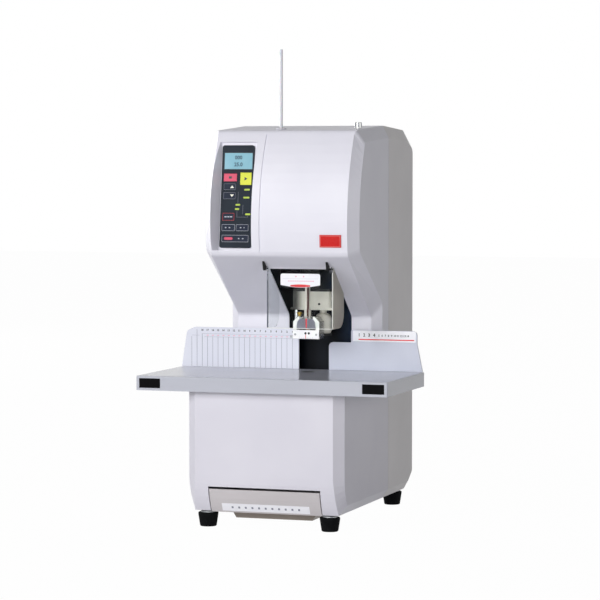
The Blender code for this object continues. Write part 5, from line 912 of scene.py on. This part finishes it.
@dataclass
class GuardDress:
    """The label on the clear guard, its edge and folds, and its worn side pane."""

    front: float = 0.121
    left: float = -0.004
    right: float = 0.068
    bottom: float = 0.4095
    top: float = 0.4334
    belly: float = 0.0042
    corner: float = 0.003
    label_thick: float = 0.00012
    arc_share: float = 0.58

    def build(self) -> None:
        """Fixes the label to the guard's front and prints on it."""
        middle, half = (self.left + self.right) / 2, (self.right - self.left) / 2
        points = [
            (half - self.corner * (1 - math.cos(turn)), self.top - self.corner * (1 - math.sin(turn)))
            for turn in (0, math.pi / 4, math.pi / 2)
        ]
        points += [(-x, z) for x, z in reversed(points)]
        steps = 16
        low = self.bottom + self.belly
        curve = [
            (-half + 2 * half * step / steps, low - self.belly * math.sin(math.pi * step / steps))
            for step in range(steps + 1)
        ]
        label = outline_plate(points + curve, self.label_thick)
        settle("guard_label", label, facing(middle, self.front, 0), LABEL_PAPER, "guard")
        reach = half * self.arc_share
        arc = [(x, z + 0.0005) for x, z in curve if abs(x) <= reach]
        crown = [(x, low - 0.0004 + 0.0016 * math.cos(x / reach * math.pi / 2)) for x, _ in reversed(arc)]
        rule = (-half + 0.004, half - 0.004, self.top - 0.0088, self.top - 0.0085)
        rows = [(x * MM, (x + 2.6) * MM, self.top - 0.0136, self.top - 0.0120) for x in range(-22, 26, 4)]
        rows += [(x * MM, (x + 2.2) * MM, self.top - 0.0060, self.top - 0.0038) for x in (-9, 5)]
        prints = {
            "arc": (outline_plate(arc + crown), INK_RED, Role.RED),
            "rule": (strips([rule]), INK_PALE, Role.FENCE),
            "rows": (strips(rows), INK_PINK, Role.RED),
        }
        place = facing(middle, self.front - self.label_thick, 0)
        for part, (form, finish, role) in prints.items():
            settle(f"guard_label_{part}", form, place, finish, "guard")
        self.edges()

    def edges(self) -> None:
        """The pale sawn bottom edge and right fold, the grey left fold, and the scratched side pane."""
        low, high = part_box("safety_guard")
        edge, fold_top = 0.0012, high[2] - 0.010
        lines = [(low[0], high[0], low[2], low[2] + edge), (high[0] - 0.0013, high[0], low[2], fold_top)]
        settle("guard_edges", strips(lines), facing(0, self.front, 0), SAWN_EDGE_AND_PAINTED_HIGHLIGHT, "guard")
        fold = strips([(low[0] - 0.0001, low[0] + edge, low[2] + edge, fold_top)])
        settle("guard_fold", fold, facing(0, self.front, 0), INK_GREY, "guard")
        near = Vector((high[0] - 0.001, self.front - HALF_DEPTH, low[2]))
        far = Vector((high[0] + 0.001, high[1], high[2]))
        pane = skin("safety_guard", near, far, Vector((1, 0, 0)), 0.00015)
        settle("guard_side_wear", pane, Matrix(), WORN_ACRYLIC, "guard")


@dataclass
class FootDress:
    """Marks, screws and rims on the pressing foot, and the red lines that show the hole's middle."""

    axis: float = 0.030
    scale_front: float = 0.157
    hood_front: float = 0.160
    bottom: float = 0.3183
    top: float = 0.3335

    def build(self) -> None:
        """Adds the marks and the two screws."""
        front = facing(self.axis, self.scale_front, 0)
        low = self.bottom + 0.0004
        line = strips([(-0.0005, 0.0005, low, self.bottom + 0.0078)])
        settle("foot_centre_line", line, front, INK_RED, "foot")
        pitch, half = 0.004, 0.00012
        spots = [side * step * pitch for side in (-1, 1) for step in (1, 2, 3)]
        ticks = strips([(x - half, x + half, low, self.bottom + 0.0030) for x in spots])
        settle("foot_ticks", ticks, front, INK_GREY, "foot")
        dots = bmesh.new()
        for shift in (-0.0004, 0.0056):
            turn = Matrix.Translation((shift, 0, self.bottom + 0.0098)) @ TOWARDS_USER
            bmesh.ops.create_circle(dots, cap_ends=True, segments=20, radius=0.0021, matrix=turn)
        thicken(dots, 2 * PRINT)
        settle("foot_dots", dots, front, INK_BLACK, "foot")
        for name, side in SIDES:
            place = facing(self.axis + side * 0.0192, self.scale_front, self.bottom + 0.0076) @ TOWARDS_USER
            head = screw_head(0.0019, 0.0009, 0.0009)
            settle(f"foot_screw_{name}_head", head, place, ZINC_PLATE, "foot")
        self.hood_rims()

    def hood_rims(self) -> None:
        """The hood's moulded rims, painted pale as highlights, its front pane with a painted reflection, and
        the red line up it.
        """
        foot, sill, pane_thick = self.top + 0.0002, 0.0027, 0.0002
        inner = [(0.0178, 0.0), (0.0165, 0.0135), (0.0125, 0.0195)]
        rim = [(0.0240, 0.0), (0.0240, 0.0142), (0.0150, 0.0232), (0.0125, 0.0232)] + inner[::-1]
        front = facing(self.axis, self.hood_front, foot)
        for name, side in SIDES:
            # painted highlights: the rims in a pale finish
            form = outline_plate([(x * side, z) for x, z in rim], 0.0004)
            settle(f"hood_rim_{name}", form, front, SAWN_EDGE_AND_PAINTED_HIGHLIGHT, "foot")
        pane = [(x, max(z, sill)) for x, z in inner]
        pane += [(-x, z) for x, z in reversed(pane)]
        # painted reflection: the front pane in grey purple
        settle("hood_pane", outline_plate(pane, pane_thick), front, ACRYLIC_PAINTED_REFLECTION, "foot")
        front = facing(self.axis, self.hood_front - pane_thick, foot)
        settle("hood_line", strips([(-0.0011, 0.0011, sill, 0.0195)]), front, INK_RED, "foot")


@dataclass
class HeadDress:
    """The trim on the drill head that is seen through the throat."""

    front: float = 0.190
    screw_across: float = 0.0440

    def build(self) -> None:
        """Adds the housing's milled lip, the rivet head's collar and the screws of the housing's cover."""
        lip = strips([(-0.0060, 0.0660, 0.3674, 0.3696)], 0.0003)
        settle("housing_lip", lip, facing(0, self.front, 0), MILLED_LIP, "carriage")
        inner, outer, low, high = 0.0146, 0.0149, 0.3222, 0.3262
        collar = turned([(inner, low), (outer, low), (outer, high), (inner, high), (inner, low)], 48)
        settle("rivet_collar", collar, facing(0.047, 0.205, 0), BLACK_NYLON, "carriage")
        for number, height in enumerate((0.3775, 0.5000), 1):
            place = facing(self.screw_across, self.front, height) @ TOWARDS_USER
            head = screw_head(0.0020, 0.0013, 0.0010)
            settle(f"housing_screw_{number}", head, place, BLACK_NYLON, "carriage")


@dataclass
class BodyDress:
    """The trim of the drawer, the apron, the knob, the feet, the inlet and the rocker."""

    foot_across: float = 0.110
    front_setback: float = 0.046
    rear_setback: float = 0.420
    foot_height: float = 0.024
    inlet_across: float = -0.075

    def build(self) -> None:
        """Adds them all."""
        self.drawer_label()
        self.cap_rims()
        self.knob_ribs()
        self.washers()
        self.blades()
        self.rocker_signs()

    def drawer_label(self) -> None:
        """A white label with a row of plain dots, laid in the recess of the drawer's front."""
        low, high = Vector((-0.0789, -HALF_DEPTH, 0.0291)), Vector((0.0789, 0.045 - HALF_DEPTH, 0.0425))
        form = skin("chip_drawer", low, high, Vector((0, -1, 0)), 0.0003)
        label = settle("drawer_label", form, Matrix(), LABEL_PAPER, "drawer")
        dots = strips([(x * MM - 0.0017, x * MM + 0.0017, -0.0019, 0.0019) for x in range(-60, 61, 12)])
        place = on_surface(label.data, Vector((0, -0.2060, 0.0316)))
        settle("drawer_label_dots", dots, place, INK_GREY, "drawer")

    def cap_rims(self) -> None:
        """The pale lip of the apron round each black end cap."""
        edge = 0.0012
        grow = 0.0026
        for name, _ in SIDES:
            low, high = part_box(f"apron_cap_{name}")
            form = ring(high[0] - low[0] + grow, high[2] - low[2] + grow, edge, edge, 0.00004)
            place = Matrix.Translation(((low[0] + high[0]) / 2, low[1], (low[2] + high[2]) / 2))
            settle(f"apron_cap_rim_{name}", form, place, LABEL_PAPER, "machine")

    def knob_ribs(self) -> None:
        """Dark bars as painted shade in the grooves of the knob's knurl, with bright metal between them."""
        low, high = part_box("depth_knob")
        radius = (high[0] - low[0]) / 2
        size = Matrix.Diagonal((0.0017, 0.0004, 0.0078, 1))
        out = Matrix.Translation((0, -radius, high[2] - 0.0048))
        form = bmesh.new()
        for step in range(6):
            turn = Matrix.Rotation(math.radians(18.36 + 60 * step), 4, "Z")
            bmesh.ops.create_cube(form, size=1, matrix=turn @ out @ size)
        place = Matrix.Translation(((low[0] + high[0]) / 2, (low[1] + high[1]) / 2, 0))
        # painted shade in the grooves, in grey ink
        settle("knob_ribs", form, place, INK_GREY, "knob")

    def washers(self) -> None:
        """A plated washer over each rubber foot, round its stud."""
        low = self.foot_height + 0.0001
        steps = [(0.0034, 0), (0.0125, 0), (0.0130, 0.0004), (0.0130, 0.0016), (0.0125, 0.0020)]
        steps += [(0.0068, 0.0020), (0.0062, 0.0034), (0.0034, 0.0034), (0.0034, 0)]
        profile = [(radius, low + rise) for radius, rise in steps]
        for row, setback in (("front", self.front_setback), ("rear", self.rear_setback)):
            for name, side in SIDES:
                place = facing(side * self.foot_across, setback, 0)
                form = turned(profile, 40)
                settle(f"foot_washer_{row}_{name}", form, place, ZINC_PLATE, "machine")

    def blades(self) -> None:
        """Brass sleeves on the inlet's three blades."""
        size = Matrix.Diagonal((0.0022, 0.0118, 0.0042, 1))
        form = bmesh.new()
        for shift, rise in ((-1, 0), (0, 0.5), (1, 0)):
            spot = (self.inlet_across + shift * 0.0070, 0.4413 - HALF_DEPTH, 0.093 + rise * 0.0040)
            bmesh.ops.create_cube(form, size=1, matrix=Matrix.Translation(spot) @ size)
        settle("inlet_blades", form, Matrix(), TURNED_BRASS, "machine")

    def rocker_signs(self) -> None:
        """The bar and the ring of any mains switch, on the rocker's two slopes."""
        rocker = frame["nodes"]["power_rocker"].data
        signs = {
            "bar": (plate(0.0008, 0.0032), (self.inlet_across, 0.2259, 0.1155)),
            "ring": (ring(0.0034, 0.0034, 0.0016, 0.0006), (self.inlet_across, 0.2252, 0.1204)),
        }
        for sign, (form, near) in signs.items():
            settle(f"rocker_{sign}", form, on_surface(rocker, Vector(near)), INK_WHITE, "rocker")


@dataclass
class Studio:
    """Pale floor, white surround, soft lamps and the camera."""

    focal_px: float = 2661.6
    photo_px: int = 600
    yaw: float = 0.320476
    pitch: float = 0.053762
    station: Triple = (1.47738, -4.46268, 0.63500)
    aim: Triple = (0, 0, 0.4)

    def build(self) -> None:
        """Sets up the whole studio."""
        self.camera()
        self.floor()
        self.world()
        self.lamp("key", (-2.6, -3.8, 2.1), 1.8, 118)
        self.lamp("front", (0.2, -4.6, 0.9), 2.2, 88)
        self.lamp("right", (4.4, -1.6, 0.9), 2.6, 44)
        self.lamp("back", (-3.9, 3.3, 1.3), 2.0, 100)

    def camera(self) -> None:
        """The camera that the photograph was taken from."""
        data = bpy.data.cameras.new("camera")
        data.sensor_width = 36
        data.lens = self.focal_px / self.photo_px * data.sensor_width
        made = placed("camera", data)
        made.location = self.station
        made.rotation_euler = (math.pi / 2 - self.pitch, 0, self.yaw)
        bpy.context.scene.camera = made

    def lamp(self, name: str, spot: Triple, size: float, power: float) -> None:
        """A square soft box that looks at the machine's middle."""
        data = bpy.data.lights.new(name, "AREA")
        data.shape = "SQUARE"
        data.size = size
        data.energy = power
        made = placed(name, data)
        made.location = spot
        way = Vector(self.aim) - Vector(spot)
        made.rotation_euler = way.to_track_quat("-Z", "Y").to_euler()

    def seen_white(self, tree: Tree, seen: Socket, plain: Socket, share: float) -> Socket:
        """Mixes a shader with white where the camera, a reflection or clear plastic shows it.

        Args:
            tree: the node tree.
            seen: the white shader.
            plain: the shader that lights the scene.
            share: how white it is when seen.

        Returns:
            The mixed shader's socket.
        """
        path = add_node(tree, "ShaderNodeLightPath").outputs
        rays = maths(tree, "ADD", {}, {0: path["Is Camera Ray"], 1: path["Is Glossy Ray"]})
        rays = maths(tree, "ADD", {"use_clamp": True}, {0: rays, 1: path["Is Transmission Ray"]})
        part = maths(tree, "MULTIPLY", {1: share}, {0: rays})
        return add_node(tree, "ShaderNodeMixShader", None, {0: part, 1: plain, 2: seen}).outputs[0]

    def floor(self) -> None:
        """A pale floor that keeps the machine's shadow."""
        form = bmesh.new()
        bmesh.ops.create_grid(form, x_segments=1, y_segments=1, size=12)
        mesh = bpy.data.meshes.new("floor")
        form.to_mesh(mesh)
        form.free()
        made = placed("floor", mesh)
        paint = bpy.data.materials.new("floor, matt white")
        paint.use_nodes = True
        tree = paint.node_tree
        tree.nodes.clear()
        plain = add_node(tree, "ShaderNodeBsdfDiffuse", {"Color": hex_linear("DEDEE0")})
        glow = add_node(tree, "ShaderNodeEmission", {"Color": (1, 1, 1, 1), "Strength": 1.0})
        out = self.seen_white(tree, glow.outputs[0], plain.outputs[0], 0.985)
        add_node(tree, "ShaderNodeOutputMaterial", None, {"Surface": out})
        mesh.materials.append(paint)

    def world(self) -> None:
        """A white surround when seen, and a soft grey light on the machine."""
        made = bpy.data.worlds.new("studio")
        made.use_nodes = True
        tree = made.node_tree
        tree.nodes.clear()
        plain = add_node(tree, "ShaderNodeBackground", {"Color": hex_linear("F2F4FA"), "Strength": 0.03})
        white = add_node(tree, "ShaderNodeBackground", {"Color": (1, 1, 1, 1), "Strength": 1.0})
        out = self.seen_white(tree, white.outputs[0], plain.outputs[0], 1.0)
        add_node(tree, "ShaderNodeOutputWorld", None, {"Surface": out})
        bpy.context.scene.world = made
        bpy.context.scene.view_settings.view_transform = "Standard"


def main() -> None:
    """Builds the studio, then dresses the machine from the ground up."""
    logging.basicConfig(level=logging.INFO, format="%(name)s: %(message)s")
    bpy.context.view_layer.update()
    Studio().build()
    finish_nodes()
    for part in (BodyDress(), ControlPanel(), Fences(), GuardDress(), FootDress(), HeadDress()):
        part.build()
        LOG.info("built %s", type(part).__name__)
    bpy.context.view_layer.update()


if __name__ == "__main__":
    main()
